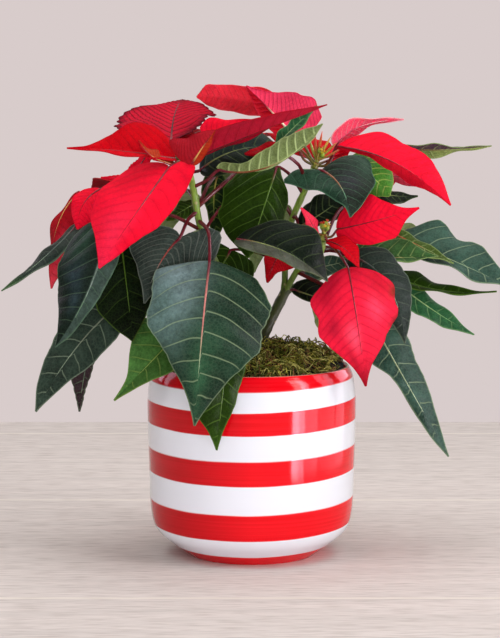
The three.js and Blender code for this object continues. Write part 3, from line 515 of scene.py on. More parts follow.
def half_width(widths, u):
    """Half the blade's width at u: smooth through the widths at the inner stations."""
    values = (BASE_STUB, *widths, 0)
    spans = [(s, t, (b - a) / (t - s)) for s, t, a, b in
             zip(BLADE_STATIONS, BLADE_STATIONS[1:], values, values[1:])]
    rises = [rise for _, _, rise in spans]
    inner = [2 * a * b / (a + b) if a * b > 0 else 0 for a, b in zip(rises, rises[1:])]
    slopes = [rises[0] * BASE_RISE, *inner, rises[-1] * TIP_FALL]
    i = sum(u >= station for station in BLADE_STATIONS[1:-1])
    start, end, _ = spans[i]
    run = end - start
    return eased(values[i], values[i + 1], slopes[i] * run, slopes[i + 1] * run, (u - start) / run)


def blade_tone(blade, tone, u, v, from_edge):
    """The upper side's colour at a place: the look's, shaded to base, tip and edge, and spotted with
    painted sheen, painted shade and a few real blotches.
    """
    def towards(colour, key, share):
        return colour.lerp(Vector(linear(blade[key])), share) if key in blade else colour

    # Half, base and tip tones carry painted sheen and painted shade in places.
    colour = towards(tone, "right_tone" if v > 0 else "left_tone", 1)
    colour = towards(colour, "base_tone", max(0, 1 - u / BASE_SHADE) ** 1.2)
    colour = towards(colour, "tip_tone", max(0, (u - 1 + TIP_SHADE) / TIP_SHADE))
    colour = towards(colour, "edge_tone", max(0, 1 - from_edge / EDGE_SHADE))
    # Spots of painted sheen and painted shade, and a few real blotches.
    for along, across, reach, spot_tone in blade.get("spots", ()):
        far = math.hypot(u - along, (v - across) * 0.6) / reach
        colour = colour.lerp(Vector(linear(spot_tone)), math.exp(-far * far))
    return colour


def grown_blade(blade, looks, veins, quilt):
    """One blade from a flat grid: its outline, fold, waves and puckers, and its painted maps."""
    fold, wave, turn = math.radians(blade.get("fold", 10)), blade.get("wave", 1.5), blade.get("turn", 0)
    lobe, heart, teeth = blade.get("lobe", 0.04), blade.get("heart", 4), blade.get("teeth", 0)
    quilt, veins, rake = blade.get("quilt", quilt), blade.get("veins", veins), blade.get("rake", VEIN_RAKE)
    base, mid, tip = (Vector(blade[key]) for key in ("base", "mid", "tip"))
    length = (mid - base).length + (tip - mid).length
    widest = max(*blade["right"], *blade["left"])
    rows = max(7 * veins if teeth or quilt > 1.1 else 16, round(length / ROW_PITCH))
    columns = 2 * max(6, round(widest / COLUMN_PITCH))
    bpy.ops.object.select_all(action="DESELECT")
    bpy.ops.mesh.primitive_grid_add(x_subdivisions=columns, y_subdivisions=rows, size=2)
    obj = bpy.context.object
    tone, vein, _, under = colour_run(looks[blade["look"]])
    # The vein colour's alpha says how strongly the veins show.
    vein[3] = blade.get("vein_share", 1)
    tones, unders, vein_map = [], [], []
    for vertex in obj.data.vertices:
        u = ((vertex.co.y + 1) / 2) ** CLOSER_TO_BASE
        v = math.copysign(abs(vertex.co.x) ** CLOSER_TO_RIB, vertex.co.x)
        half = "right" if v > 0 else "left"
        point, along, across, up = blade_arc(blade, u)
        swell = math.sin(math.pi * u)
        phase = 0 if v > 0 else LEFT_PHASE
        scallop = swell * math.sin(2 * math.pi * (SCALLOPS * u + phase + turn))
        width = half_width(blade[half], u) * (1 + lobe * scallop)
        nick = noise.noise(Vector((u * length / NICK_LENGTH, phase * 9, turn * 7 + widest)))
        width += BLADE_EDGE + EDGE_NICKS * width * nick * swell
        width += teeth * abs(math.sin(math.pi * veins * TEETH_A_VEIN * u)) * swell
        side = width * abs(v)
        ripple = math.sin(2 * math.pi * (RIPPLES * u + turn + 0.25 * (v > 0) - 0.25 * (v < 0)))
        lift = side * math.sin(fold) + (wave * ripple * swell - EDGE_DROOP * width) * v * v
        share = side / length
        order = veins * (u - rake * share - VEIN_CURVE * share**2) + (VEIN_STAGGER if v < 0 else 0) + turn
        order += VEIN_SWAY * noise.noise(Vector((u * 6, v * 2, widest)))
        lift += quilt * (0.5 - 0.5 * math.cos(2 * math.pi * order)) * min(1, side / PUCKER_RUN) * (1 - v**4)
        lift += EDGE_SAG * noise.noise(point / SAG_LENGTH + Vector((v, 0, 0))) * abs(v)
        reach_back = blade.get("left_heart", heart) if v <= 0 else heart
        shoulder = reach_back * (1 - u) ** 3 * side / (side + SHOULDER_WIDTH)
        vertex.co = (point + across * width * v * math.cos(fold) + up * lift - along * shoulder) * MM
        tones.append(blade_tone(blade, tone, u, v, width - side))
        unders.append(Vector(linear(blade[half + "_under"])) if half + "_under" in blade else under)
        vein_map += (order, length / veins / VEIN_SLANT, width - side)
    paint(obj, "tone", tones)
    paint(obj, "under_tone", unders)
    paint(obj, "vein_tone", [vein] * len(tones))
    layer = obj.data.attributes.new("veins", "FLOAT_VECTOR", "POINT")
    layer.data.foreach_set("vector", vein_map)
    return obj


def blade_skin(name, painted, vein_share, net_share, mottle, relief, groove_shade, **finish):
    """A leaf's skin: side veins from the painted map, a fine net between them, faint mottling, painted
    shade along the sunk veins, and a thin edge line.
    The map holds each point's place in the count of side veins, and in millimetres how far apart
    these are and how far off the edge is."""
    material, tree, skin, place = new_material(name, **finish)
    tone = add_node(tree, "Attribute", attribute_name=painted)
    vein_tone, _, _, vein_weight = add_node(tree, "Attribute", attribute_name="vein_tone").node.outputs
    vein_map = add_node(tree, "Attribute", out="Vector", attribute_name="veins")
    order, spacing, from_edge = add_node(tree, "SeparateXYZ", [vein_map]).node.outputs
    nearest = add_node(tree, "Math", [order, 0.5], operation="PINGPONG")
    away = add_node(tree, "Math", [nearest, spacing], operation="MULTIPLY")
    thick = add_node(tree, "Math", [vein_weight, 0.15, 0.4], operation="MULTIPLY_ADD")
    line = add_node(tree, "MapRange", [away, 0.1, thick, 1, 0])
    fade = add_node(tree, "MapRange", {0: from_edge, 2: 7, 3: 0.35, 4: 1})
    side_vein = add_node(tree, "Math", [line, fade], operation="MULTIPLY")
    # A thin line in the vein tone along the edge: on green leaves it is a painted highlight.
    rim = add_node(tree, "MapRange", [from_edge, 0.3, 1.1, 0.45, 0])
    cells = add_node(tree, "TexVoronoi", {"Vector": place, "Scale": 430}, feature="DISTANCE_TO_EDGE")
    net = add_node(tree, "MapRange", {0: cells, 2: 0.16, 3: 1, 4: 0})
    blotches = add_node(tree, "TexNoise", {"Vector": place, "Scale": 55, "Detail": 3})
    specks = add_node(tree, "TexNoise", {"Vector": place, "Scale": 420, "Detail": 3, "Roughness": 0.7})
    both = add_node(tree, "Math", [blotches, specks], operation="ADD")
    light = add_node(tree, "MapRange", [both, 0.65, 1.35, 1 - mottle, 1 + mottle])
    # Painted shade in the grooves: the tone is darkened near each side vein.
    groove_shading = add_node(tree, "MapRange", {0: nearest, 2: 0.35, 3: 1 - groove_shade, 4: 1.04})
    shade = add_node(tree, "Math", [light, groove_shading], operation="MULTIPLY")
    mottled = add_node(tree, "HueSaturation", {"Value": shade, "Color": tone})
    net_mix = add_node(tree, "Math", [net, net_share], operation="MULTIPLY")
    netted = add_node(tree, "Mix", {0: net_mix, 6: mottled, 7: vein_tone}, 2, data_type="RGBA")
    strong = add_node(tree, "Math", [side_vein, vein_share], operation="MULTIPLY")
    strong = add_node(tree, "Math", [strong, vein_weight], operation="MULTIPLY", use_clamp=True)
    vein_mix = add_node(tree, "Math", [strong, rim], operation="MAXIMUM")
    veined = add_node(tree, "Mix", {0: vein_mix, 6: netted, 7: vein_tone}, 2, data_type="RGBA")
    tree.links.new(veined, skin["Base Color"])
    grain = add_node(tree, "TexNoise", {"Vector": place, "Scale": 900, "Detail": 2})
    raised = add_node(tree, "Math", [side_vein, relief, grain], operation="MULTIPLY_ADD")
    height = add_node(tree, "Math", [net, relief * 0.35, raised], operation="MULTIPLY_ADD")
    bump = add_node(tree, "Bump", {"Strength": 0.5, "Distance": 0.35 * MM, "Height": height})
    tree.links.new(bump, skin["Normal"])
    return material


def blades(name, leaves, looks, veins, quilt, skins):
    """All blades of a shoot or head as one piece, thickened, with an upper and an under skin."""
    obj = joined(name, [grown_blade(blade, looks, veins, quilt) for blade in leaves])
    for skin in skins:
        obj.data.materials.append(skin)
    wall = obj.modifiers.new("blade_wall", "SOLIDIFY")
    wall.thickness, wall.offset, wall.material_offset = BLADE_THICKNESS * MM, 0, 1
    alone(obj)
    bpy.ops.object.modifier_apply(modifier=wall.name)
    bpy.ops.object.shade_smooth_by_angle(angle=math.radians(55))
    return obj


def leaf_stalks(name, leaves, looks, stalk_tones, bow, radii):
    """Every leaf's round stalk, which bends into its blade and thins out as the raised midrib."""
    pieces = []
    for blade in leaves:
        start, base = Vector(blade["stem"]), Vector(blade["base"])
        middle = Vector(blade.get("bend", (start + base) / 2 + Vector((0, 0, blade.get("bow", bow)))))
        line = smooth_line([start, middle, base, *(blade_arc(blade, u)[0] for u in RIB_STATIONS)], 4)
        _, vein_tone, rib_tone, _ = looks[blade["look"]]
        rib_radii = [radius * blade.get("rib", 1) for radius in radii[2:]]
        pieces.append(round_stalk(line, (*radii[:2], *rib_radii),
                                  (*stalk_tones, rib_tone, rib_tone, vein_tone, vein_tone)))
    obj = joined(name, pieces)
    obj.data.materials.append(waxy_stalk)
    return obj


def shoot(name, routes):
    """A shoot's round stems; each swells a little at the joints, which come every 20 mm or so."""
    pieces = []
    for route, radius, tones in routes:
        line = smooth_line(route, 6)
        far = 0
        radii = []
        for p, q in zip(line, [*line[1:], line[-1]]):
            swell = max(0, math.cos(2 * math.pi * far / JOINT_EVERY)) ** 6
            radii.append(radius * (1 + JOINT_SWELL * swell))
            far += (q - p).length
        pieces.append(round_stalk(line, radii, tones))
    obj = joined(name, pieces)
    obj.data.materials.append(green_bark)
    return obj


def leafy_stem(side, shoot_name, routes, leaves, veins, quilt):
    """A stem in the place of its CAD node: its shoots, its leaf stalks and its green blades."""
    for piece in (
        shoot(shoot_name, routes),
        leaf_stalks(side + "_leaf_stalks", leaves, LEAF_LOOKS, STALK_TONES, 4, STALK_RADII),
        blades(side + "_leaves", leaves, LEAF_LOOKS, veins, quilt, (leaf_upper, leaf_under)),
    ):
        settle(piece, "foliage", "stem_" + side)


def shoot_bark():
    """Young bark: smooth and green above, olive below, with pale corky specks and old leaf scars."""
    material, tree, skin, place = new_material("young_green_bark", Roughness=0.48)
    tone = add_node(tree, "Attribute", attribute_name="tone")
    drawn = add_node(tree, "Mapping", {"Vector": place, "Scale": (500, 500, 130)})
    streaks = add_node(tree, "TexNoise", {"Vector": drawn, "Scale": 1, "Detail": 3})
    light = add_node(tree, "MapRange", [streaks, 0.3, 0.7, 0.65, 1.35])
    streaked = add_node(tree, "HueSaturation", {"Value": light, "Color": tone})
    specks = add_node(tree, "TexVoronoi", {"Vector": place, "Scale": 140})
    speck = add_node(tree, "MapRange", [specks, 0.1, 0.2, 0.7, 0])
    specked = add_node(tree, "Mix", {0: speck, 6: streaked, 7: linear(CORK_SPECK)}, 2, data_type="RGBA")
    tree.links.new(specked, skin["Base Color"])
    bump = add_node(tree, "Bump", {"Strength": 0.5, "Distance": 0.4 * MM, "Height": streaks})
    tree.links.new(bump, skin["Normal"])
    return material


# A green leaf's face is satin with sunk veins, and its underside dull with raised ones.
leaf_upper = blade_skin("satin_leaf_upper", "tone", vein_share=0.45, net_share=0.05, mottle=0.5,
                        relief=-0.8, groove_shade=0.16, Roughness=0.34, Specular_IOR_Level=0.07)
leaf_under = blade_skin("matte_leaf_under", "under_tone", vein_share=0.5, net_share=0.12, mottle=0.3,
                        relief=1.6, groove_shade=0.1, Roughness=0.6, Specular_IOR_Level=0.2)
# Leaf stalks are smooth and waxy, so they carry narrow bright lines of light.
waxy_stalk = flecked_skin("waxy_leaf_stalk", 420, 0.8, 1.25, Roughness=0.42, Coat_Weight=0.5,
                          Coat_Roughness=0.2, Specular_IOR_Level=0.12)
green_bark = shoot_bark()

leafy_stem("left", "left_shoot", [(LEFT_SHOOT, SHOOT_RADIUS, GREEN_SHOOT)], LEFT_LEAVES, 8, 1.1)

# ---------------------------------------------------------------------------- far left shoot
# A second shoot rises behind the first and leans far out to the left. Its leaves hang round the
# pot's left side, and more of them fill the plant's rear.

FAR_LEFT_SHOOT = (
    (2, 22, 100), (-3, 23, 124), (-9, 24, 143), (-19, 26, 166), (-34, 24, 196), (-58, 20, 214),
    (-77, 12, 236), (-86, -4, 262),
)
FAR_LEFT_LEAVES = (
    leaf("fresh", (-41, -30, 174), (-65, -48, 150), (-96, -52, 118), (-0.1, -1, 0.4), (10, 22, 27, 16, 3),
         (8, 15, 16, 11, 4), stem=(-22, 26, 172), fold=6, left_tone="#3a6028", right_tone="#4a7838"),
    # This leaf is painted near black on both halves, as shade.
    leaf("glow", (-93, -34, 239), (-87, -46, 197), (-83, -48, 159), (0, -1, 0.3), (16, 24, 26, 22, 12),
         (12, 18, 20, 16, 7), stem=(-66, 17, 222), fold=8, vein_share=0.35, left_tone="#0a1408",
         right_tone="#0a1408"),
    leaf("dusk", (-120, -34, 242), (-142, -58, 219), (-172, -66, 196), (-0.3, -0.6, 0.8), (6, 7, 8, 6, 2),
         (6, 7, 6, 4, 1.5), stem=(-85, 0, 254), bend=(-99, -24, 240), fold=-10, vein_share=0.4,
         tip_tone="#2c4a1c"),
    leaf("smoke", (-92, -26, 184), (-124, -36, 152), (-152, -38, 108), (-0.1, -1, 0.4),
         (12, 16, 18, 14, 8), (12, 17, 17, 12, 5), stem=(-32, 24, 192), fold=8),
    leaf("dusk", (-113, -4, 165), (-120, -6, 130), (-124, -4, 103), (0, -1, 0.1), (8, 11, 12, 6, 2),
         (5, 5, 4, 2, 1), stem=(-32, 25, 188), bow=12, fold=5, teeth=0.6, left_tone="#34262a",
         right_tone="#34262a"),
    leaf("fresh", (-10, 55, 190), (-20, 85, 165), (-28, 105, 124), (0, 1, 0.5), (18, 26, 26, 18, 7),
         stem=(-19, 26, 168), lobe=0.05),
    leaf("deep", (-62, 45, 206), (-78, 75, 186), (-90, 95, 150), (-0.2, 1, 0.6), (15, 22, 21, 14, 5),
         stem=(-40, 24, 200), turn=0.4),
    leaf("fresh", (-95, 35, 240), (-112, 60, 222), (-128, 78, 185), (-0.4, 0.8, 0.7), (12, 17, 17, 12, 5),
         stem=(-77, 12, 236), turn=0.7),
)

leafy_stem("far_left", "far_left_shoot", [(FAR_LEFT_SHOOT, SHOOT_RADIUS, GREEN_SHOOT)],
           FAR_LEFT_LEAVES, 7, 0.9)

# ---------------------------------------------------------------------------- trunk and right shoots
# The thick old trunk leans to the right and forks into three green shoots, for the top, the front
# and the back head. Its bark is dark olive with pale scars where old leaves have dropped.

TRUNK_RADIUS = 3.6
OLD_BARK = ("#221f12", "#2a2a14", "#343a1a", "#404a20")
UPPER_GREEN = GREEN_SHOOT[1:]
TRUNK = (
    (4, 4, 100), (4, 3, 124), (6, 2, 145), (9, 1, 158), (16, 1, 173), (25, 2, 191),
)
TOP_SHOOT = (
    (16, 1, 173), (23, 2, 190), (24, 2, 210), (26, 2, 230), (30, 2, 244), (37, 0, 260),
    (44, -2, 277),
)
FRONT_SHOOT = (
    (16, 1, 173), (25, 1, 191), (34, -6, 207), (43, -20, 216), (49, -29, 221), (50, -31, 228),
)
BACK_SHOOT = (
    (20, 1, 182), (28, 12, 190), (42, 26, 194), (61, 38, 204), (75, 44, 226), (81, 46, 248),
    (84, 46, 265),
)
RIGHT_LEAVES = (
    leaf("glow", (-16, -66, 165), (-20, -82, 126), (-24, -83, 88), (0.2, -1, 0.1), (8, 16, 20, 17, 6),
         (8, 13, 11, 7, 2), stem=(8, 1, 154), fold=6, tip_tone="#33540e"),
    leaf("bright", (17, -38, 294), (29, -44, 307), (45, -44, 322), (-0.2, -0.7, 0.7), (3, 6, 6, 5, 2),
         stem=(38, -1, 264), bend=(33, -28, 281), fold=20),
    leaf("glow", (18, -6, 279), (8, -20, 249), (-3, -18, 215), (0, -1, 0.1), (18, 27, 30, 29, 20),
         (4, 12, 16, 13, 6), stem=(37, 0, 259), fold=-5, rake=0.75),
    # This leaf's pale right half is painted sheen.
    leaf("black", (-10, -46, 230), (24, -62, 222), (52, -62, 202), (0, -0.6, 0.8), (10, 14, 15, 11, 5),
         (11, 20, 27, 25, 12), stem=(25, 2, 216), fold=22, vein_share=0.6, right_tone="#484b40"),
    leaf("glow", (-15, -12, 220), (-25, -12, 203), (-39, -14, 183), (0, -1, 0.2), (14, 20, 20, 14, 6),
         (18, 22, 20, 14, 6), stem=(23, 2, 208), fold=0),
    leaf("teal", (49, -24, 277), (62, -38, 266), (68, -56, 246), (0.1, -0.95, 0.35), (20, 20, 15, 8, 2),
         (18, 28, 27, 19, 8), stem=(39, -1, 265), fold=-4, heart=42, left_heart=0, vein_share=0.45,
         left_tone="#141a12", right_tone="#1a3224", spots=((0.05, 0.8, 0.22, "#34543f"),
         (0.45, -0.3, 0.18, "#2a2a2e"), (0.3, -0.95, 0.2, "#34463a"))),
    leaf("lime", (70, 6, 278), (85, 10, 272), (99, 10, 257), (0, -1, 0.3), (8, 14, 14, 12, 8),
         (8, 14, 16, 15, 9), stem=(39, -1, 267), fold=0),
    leaf("black", (85, 16, 261), (103, 18, 257), (120, 18, 257), (0, -0.6, 0.8), (6, 9, 9, 5, 2),
         (6, 9, 8, 4, 2), stem=(49, -29, 222), bend=(62, -9, 248), fold=0),
    leaf("sage", (105, 30, 291), (137, 32, 290), (174, 28, 293), (0, 0.5, 0.87), (6, 10, 9, 6, 2),
         (7, 10, 8, 5, 2), stem=(82, 46, 254), bend=(96, 37, 268), fold=0, left_under="#8a9a50",
         right_under="#4c2c40"),
    leaf("mist", (104, 14, 227), (147, 4, 210), (193, -4, 189), (0.1, -0.6, 0.8), (8, 13, 13, 10, 4),
         (13, 27, 25, 19, 9), stem=(75, 44, 224), fold=16, wave=3, lobe=0.1),
    leaf("veined", (67, -12, 216), (101, -18, 215), (132, -18, 216), (0, -0.6, 0.8), (6, 8, 8, 6, 2),
         (8, 15, 17, 14, 5), stem=(45, -22, 221), fold=25),
    leaf("veined", (96, 4, 233), (120, -2, 222), (144, -6, 210), (0.1, -0.6, 0.8), (4, 8, 9, 6, 2),
         (3, 6, 6, 4, 2), stem=(76, 44, 227), left_tone="#3f541c", right_tone="#3f541c"),
    leaf("glow", (101, 6, 200), (135, 4, 190), (176, 2, 189), (0, -0.5, 0.85), (5, 6, 5, 3, 1),
         (8, 12, 8, 4, 1), stem=(63, 39, 206), fold=15),
    leaf("bright", (102, 18, 196), (132, 14, 174), (161, 10, 157), (0.2, -0.8, 0.6), (7, 11, 10, 7, 3),
         (6, 9, 8, 6, 2), stem=(66, 40, 210), fold=8),
    leaf("dusk", (69, -28, 217), (95, -40, 198), (107, -44, 157), (0.2, -1, 0.4), (12, 18, 20, 14, 6),
         (10, 18, 18, 13, 6), stem=(41, -16, 216), fold=-8, teeth=0.7, vein_share=0.5),
    leaf("mist", (85, -22, 170), (108, -32, 130), (140, -26, 74), (0.1, -1, 0.3), (10, 15, 7, 5, 4),
         (12, 17, 15, 11, 5), stem=(32, -4, 204), fold=-8),
    leaf("black", (34, -5, 236), (50, -8, 246), (67, -2, 258), (0, -0.9, 0.5), (4, 5, 7, 9, 6),
         (7, 11, 13, 13, 7), stem=(29, 2, 242), fold=0),
    leaf("black", (30, 8, 190), (48, 8, 184), (71, 8, 177), (0, -0.8, 0.6), (3, 4, 5, 4, 2),
         (8, 12, 13, 11, 5), stem=(25, 2, 191), bow=0, fold=0),
    leaf("mist", (37, 16, 202), (55, 22, 206), (74, 25, 210), (0, -0.8, 0.6), (6, 8, 8, 6, 3),
         (6, 9, 9, 7, 3), stem=(31, -3, 204), bow=0, fold=0),
    leaf("fresh", (17, 20, 252), (8, 52, 232), (2, 84, 196), (0, 0.6, 0.8), (12, 17, 17, 12, 5),
         (12, 14, 14, 12, 5), stem=(29, 2, 243)),
    leaf("deep", (52, 22, 270), (66, 48, 262), (78, 78, 236), (0.1, 0.6, 0.9), (12, 18, 18, 13, 5),
         stem=(37, 0, 260), turn=0.3),
    leaf("fresh", (75, 60, 206), (88, 85, 186), (98, 105, 145), (0.2, 1, 0.5), (15, 23, 22, 15, 6),
         stem=(61, 38, 204), turn=0.6),
    leaf("deep", (58, 45, 182), (62, 72, 162), (66, 92, 122), (0, 1, 0.5), (10, 15, 15, 11, 4),
         stem=(42, 26, 194)),
    leaf("fresh", (100, 62, 232), (122, 80, 222), (148, 90, 204), (0.3, 0.7, 0.8), (8, 13, 13, 10, 4),
         stem=(75, 44, 226), turn=0.5),
)

leafy_stem("right", "trunk_and_right_shoots", [
    (TRUNK, TRUNK_RADIUS, OLD_BARK), (TOP_SHOOT, SHOOT_RADIUS, UPPER_GREEN),
    (FRONT_SHOOT, SHOOT_RADIUS, UPPER_GREEN), (BACK_SHOOT, SHOOT_RADIUS, UPPER_GREEN),
], RIGHT_LEAVES, 7, 0.9)

# ---------------------------------------------------------------------------- bract heads
# Bracts are the red leaves round the flowers. They are softer and thinner than the green ones, let
# some light through, and sit on short stalks round the shoot's swollen end.

CORE_LENGTH = 5
CORE_GAP = 0.3
CORE_STATIONS = (0, 0.15, 0.4, 0.7, 0.9, 1)
CORE_RADII = (2.4, 2.8, 3, 3, 2.7, 1.6)
CORE_TONES = ("#7d8c34", "#94983c", "#8c5a2c")
BRACT_STALK_RADII = (1.1, 0.9, 0.75, 0.55, 0.42, 0.38, 0.28)
BRACT_STALK_TONES = ("#5c6a24", "#741420", "#80141e")
SOFT_FLESH = dict(Subsurface_Weight=0.12, Subsurface_Radius=(1, 0.15, 0.1), Subsurface_Scale=1.5 * MM)
BRACT_LOOKS = {
    "scarlet": ("#e8102e", "#b80c24", "#64081a", "#d83a54"),
    "crimson": ("#bc0616", "#8e0818", "#5c0a14", "#a8122a"),
    "coral": ("#e02a38", "#e85058", "#b8902c", "#e42c3a"),
    "herringbone": ("#b8142c", "#4c0814", "#280408", "#b02a44"),
    "straw_rib": ("#b40e1e", "#7c0a14", "#d0a058", "#98142a"),
    "rose": ("#ee2c4a", "#c01c3a", "#f4e0c0", "#f2385a"),
    "white_veined": ("#ea2648", "#fcd0d4", "#d8506c", "#f4506c"),
    "burgundy_rib": ("#ec1a36", "#b40c28", "#5a0a18", "#d03a54"),
    "pink": ("#e4324c", "#b81c34", "#9c1428", "#dc4a60"),
    "wine": ("#9c0a14", "#6c0610", "#60060e", "#8a1020"),
}
# As with the leaves, half, base and tip tones of bracts are in places painted sheen and painted shade.
LEFT_BRACTS = (
    leaf("scarlet", (-57, -58, 280), (-79, -86, 249), (-103, -94, 214), (-0.25, -0.9, 0.4),
         (22, 33, 35, 31, 13), (15, 19, 18, 12, 5), fold=-4, lobe=0.02, heart=14, left_heart=34,
         vein_share=0.5, left_tone="#e60e2c", tip_tone="#f2264a", spots=((0.7, 0.2, 0.25, "#ee2444"),)),
    leaf("crimson", (-53, -53, 286), (-91, -70, 292), (-125, -80, 294), (-0.1, -0.75, 0.65),
         (17, 26, 18, 8, 0.8), (3, 4, 4.5, 3, 0.7), bend=(-51, -52, 282), fold=20, heart=3, left_heart=3,
         right_tone="#b4000e"),
    leaf("straw_rib", (-53, -54, 282), (-68, -64, 288), (-77, -70, 299), (-0.1, -0.75, 0.65),
         (4, 7, 6, 3, 1), (0.7, 0.7, 0.7, 0.7, 0.5), rake=0.8, right_tone="#a83a20", base_tone="#6c1810"),
    leaf("herringbone", (-56, -36, 298), (-55, 2, 315), (-51, 40, 326), (0, -0.35, 1),
         (6, 14, 21, 25, 17), (14, 36, 40, 27, 14), bend=(-57, -43, 288), fold=4, wave=3, lobe=0.08,
         rib=1.3, quilt=0.9, teeth=2.2, veins=13, rake=0.85, vein_share=3, right_tone="#b01028",
         tip_tone="#7c1020", edge_tone="#5a0c1c"),
    leaf("scarlet", (-71, -30, 294), (-84, -26, 276), (-106, -24, 272), (0, -0.8, 0.6), (4, 4, 4, 2, 1),
         (4, 4, 3, 1, 0.5), fold=0, teeth=0.8),
    leaf("crimson", (-41, -40, 286), (1, -50, 303), (52, -50, 323), (0, 0.5, 0.87), (8, 16, 12, 11, 4),
         (8, 12, 10, 7, 2), fold=30, lobe=0.02, rake=0.8, base_tone="#a8481c"),
    leaf("straw_rib", (-41, -60, 283), (-33, -66, 295), (-25, -68, 306), (0, -1, 0.1), (3, 4, 4, 3, 1),
         (12, 21, 12, 9, 4), fold=5, heart=2, left_heart=10, rib=1.3, left_tone="#a41c28",
         right_tone="#a83018"),
    leaf("crimson", (-45, -27, 293), (-39, 2, 303), (-27, 46, 302), (0, 0, 1), (9, 14, 15, 11, 5)),
    leaf("scarlet", (-31, -38, 301), (-13, -32, 308), (23, -26, 312), (0, -0.9, 0.4), (4, 6, 6, 4, 2),
         (8, 10, 6, 3, 1), fold=5, rake=0.8),
)
FAR_LEFT_BRACTS = (
    leaf("scarlet", (-106, -30, 264), (-117, -42, 254), (-121, -46, 237), (-0.2, -0.9, 0.4),
         (4, 9, 9, 7, 3), (8, 11, 12, 14, 9), fold=0, heart=0, vein_share=0.4),
    leaf("straw_rib", (-122, -8, 261), (-138, -18, 235), (-141, -28, 194), (-0.6, -0.8, 0.3),
         (3, 3.5, 7, 3.5, 1.5), (5, 9, 17, 18, 9), bend=(-109, -9, 258), fold=-10, rib=0.8,
         left_tone="#980c18", right_tone="#9c0c16", tip_tone="#f04858",
         spots=((0.68, -0.4, 0.15, "#d83850"),)),
    leaf("crimson", (-84, 8, 265), (-92, 46, 257), (-100, 88, 224), (0, 0.5, 0.9), (17, 27, 27, 20, 8),
         lobe=0.02),
    leaf("crimson", (-97, 4, 262), (-121, 30, 249), (-139, 50, 214), (-0.5, 0.4, 0.8),
         (11, 17, 17, 12, 5), turn=0.4),
)
TOP_BRACTS = (
    leaf("coral", (23, 22, 317), (-10, 30, 326), (-40, 34, 328), (0, 1, 0.3), (4, 8, 10, 9, 7),
         (8, 12, 11, 9, 9), fold=10, rib=0.2, veins=14, vein_share=0.35, tip_tone="#b86a38",
         left_under="#f43042", right_under="#f43042"),
    # This bract's right underside is painted dark red, as shade.
    leaf("rose", (32, 4, 298), (15, 14, 317), (-4, 18, 336), (0, 1, 0.1), (5, 9, 9, 7, 3),
         (24, 27, 23, 12, 4), bend=(37, 1, 284), fold=5, left_heart=8, rib=1.7, quilt=1.2, veins=13,
         rake=0.7, left_tone="#ff3058", left_under="#ff4066", right_under="#b4081c"),
    leaf("white_veined", (60, 2, 293), (77, 8, 307), (109, 12, 312), (0, 0.6, 0.8), (8, 12, 9, 5, 2),
         (8, 12, 10, 6, 2), bend=(53, 1, 280), fold=15, vein_share=0.55, left_tone="#f02c50",
         right_tone="#f02c50", left_under="#ee3658", right_under="#f04060"),
    leaf("scarlet", (61, -6, 293), (101, -30, 282), (139, -34, 253), (0.25, -1, 0.35),
         (1.5, 1.5, 6, 6, 2), (12, 22, 21, 20, 12), bend=(54, -5, 280), fold=-15, lobe=0.02,
         right_tone="#b80c20", spots=((0.1, 0.5, 0.12, "#a00a18"), (0.27, 0.5, 0.14, "#a00a18"),
         (0.42, 0.7, 0.12, "#a00a18"), (0.55, 0.8, 0.07, "#a00a18"))),
    leaf("wine", (27, -30, 296), (11, -35, 292), (-5, -39, 289), (0, -0.8, 0.6), (3, 5, 5, 4, 2), fold=0),
    leaf("scarlet", (57, 4, 284), (63, 6, 286), (70, 6, 290), (0, -0.8, 0.6), (3, 6, 7, 5, 2), bow=0,
         fold=0),
    leaf("scarlet", (50, 10, 284), (60, 40, 292), (66, 80, 286), (0, 0.2, 1), (14, 22, 22, 16, 6),
         lobe=0.02),
    leaf("crimson", (42, 8, 285), (28, 40, 299), (2, 78, 298), (0, 0.1, 1), (13, 21, 21, 15, 6),
         turn=0.5),
)
FRONT_BRACTS = (
    leaf("scarlet", (60, -32, 236), (86, -46, 243), (116, -48, 252), (0, -0.95, 0.3), (8, 12, 15, 14, 4),
         (12, 19, 21, 12, 3), bend=(56, -31, 231), fold=-5, lobe=0.02, heart=7, rake=0.8),
    leaf("crimson", (53, -38, 228), (65, -50, 223), (74, -54, 211), (0.2, -0.9, 0.4), (2, 3, 3, 3, 2),
         (3, 8, 9, 7, 3), fold=5),
    # On this bract the dark red spots are painted shade in its pleats and the pink ones painted highlights;
    # the two brown ones at its edge are real blotches.
    leaf("burgundy_rib", (67, -48, 210), (73, -64, 172), (79, -60, 129), (0, -1, 0.2),
         (16, 28, 27, 21, 6), (20, 30, 27, 18, 5), fold=-6, lobe=0.07, turn=0.45, quilt=0.9, veins=13,
         vein_share=1.3, left_tone="#ee203e", right_tone="#ec1e3c", base_tone="#c6142c",
         tip_tone="#8a121e", spots=((0.15, 0.6, 0.16, "#b0102a"), (0.5, 0.6, 0.1, "#bc1832"),
         (0.6, 0.15, 0.12, "#fc4c66"), (0.38, -0.5, 0.12, "#f8405c"), (0.18, -0.7, 0.14, "#c8182e"),
         (0.25, -0.98, 0.06, "#5a3018"), (0.5, -0.98, 0.05, "#7a2420"), (0.8, 0.5, 0.1, "#c41c32"))),
    leaf("pink", (45, -37, 231), (41, -42, 242), (34, -44, 252), (0.2, -0.9, 0.4), (2, 3, 4, 3, 1)),
    leaf("wine", (20, -22, 219), (15, -26, 210), (11, -26, 198), (0, -1, 0.2), (6, 8, 7, 4, 2),
         (8, 13, 10, 4, 2), bend=(38, -36, 230), fold=0),
)
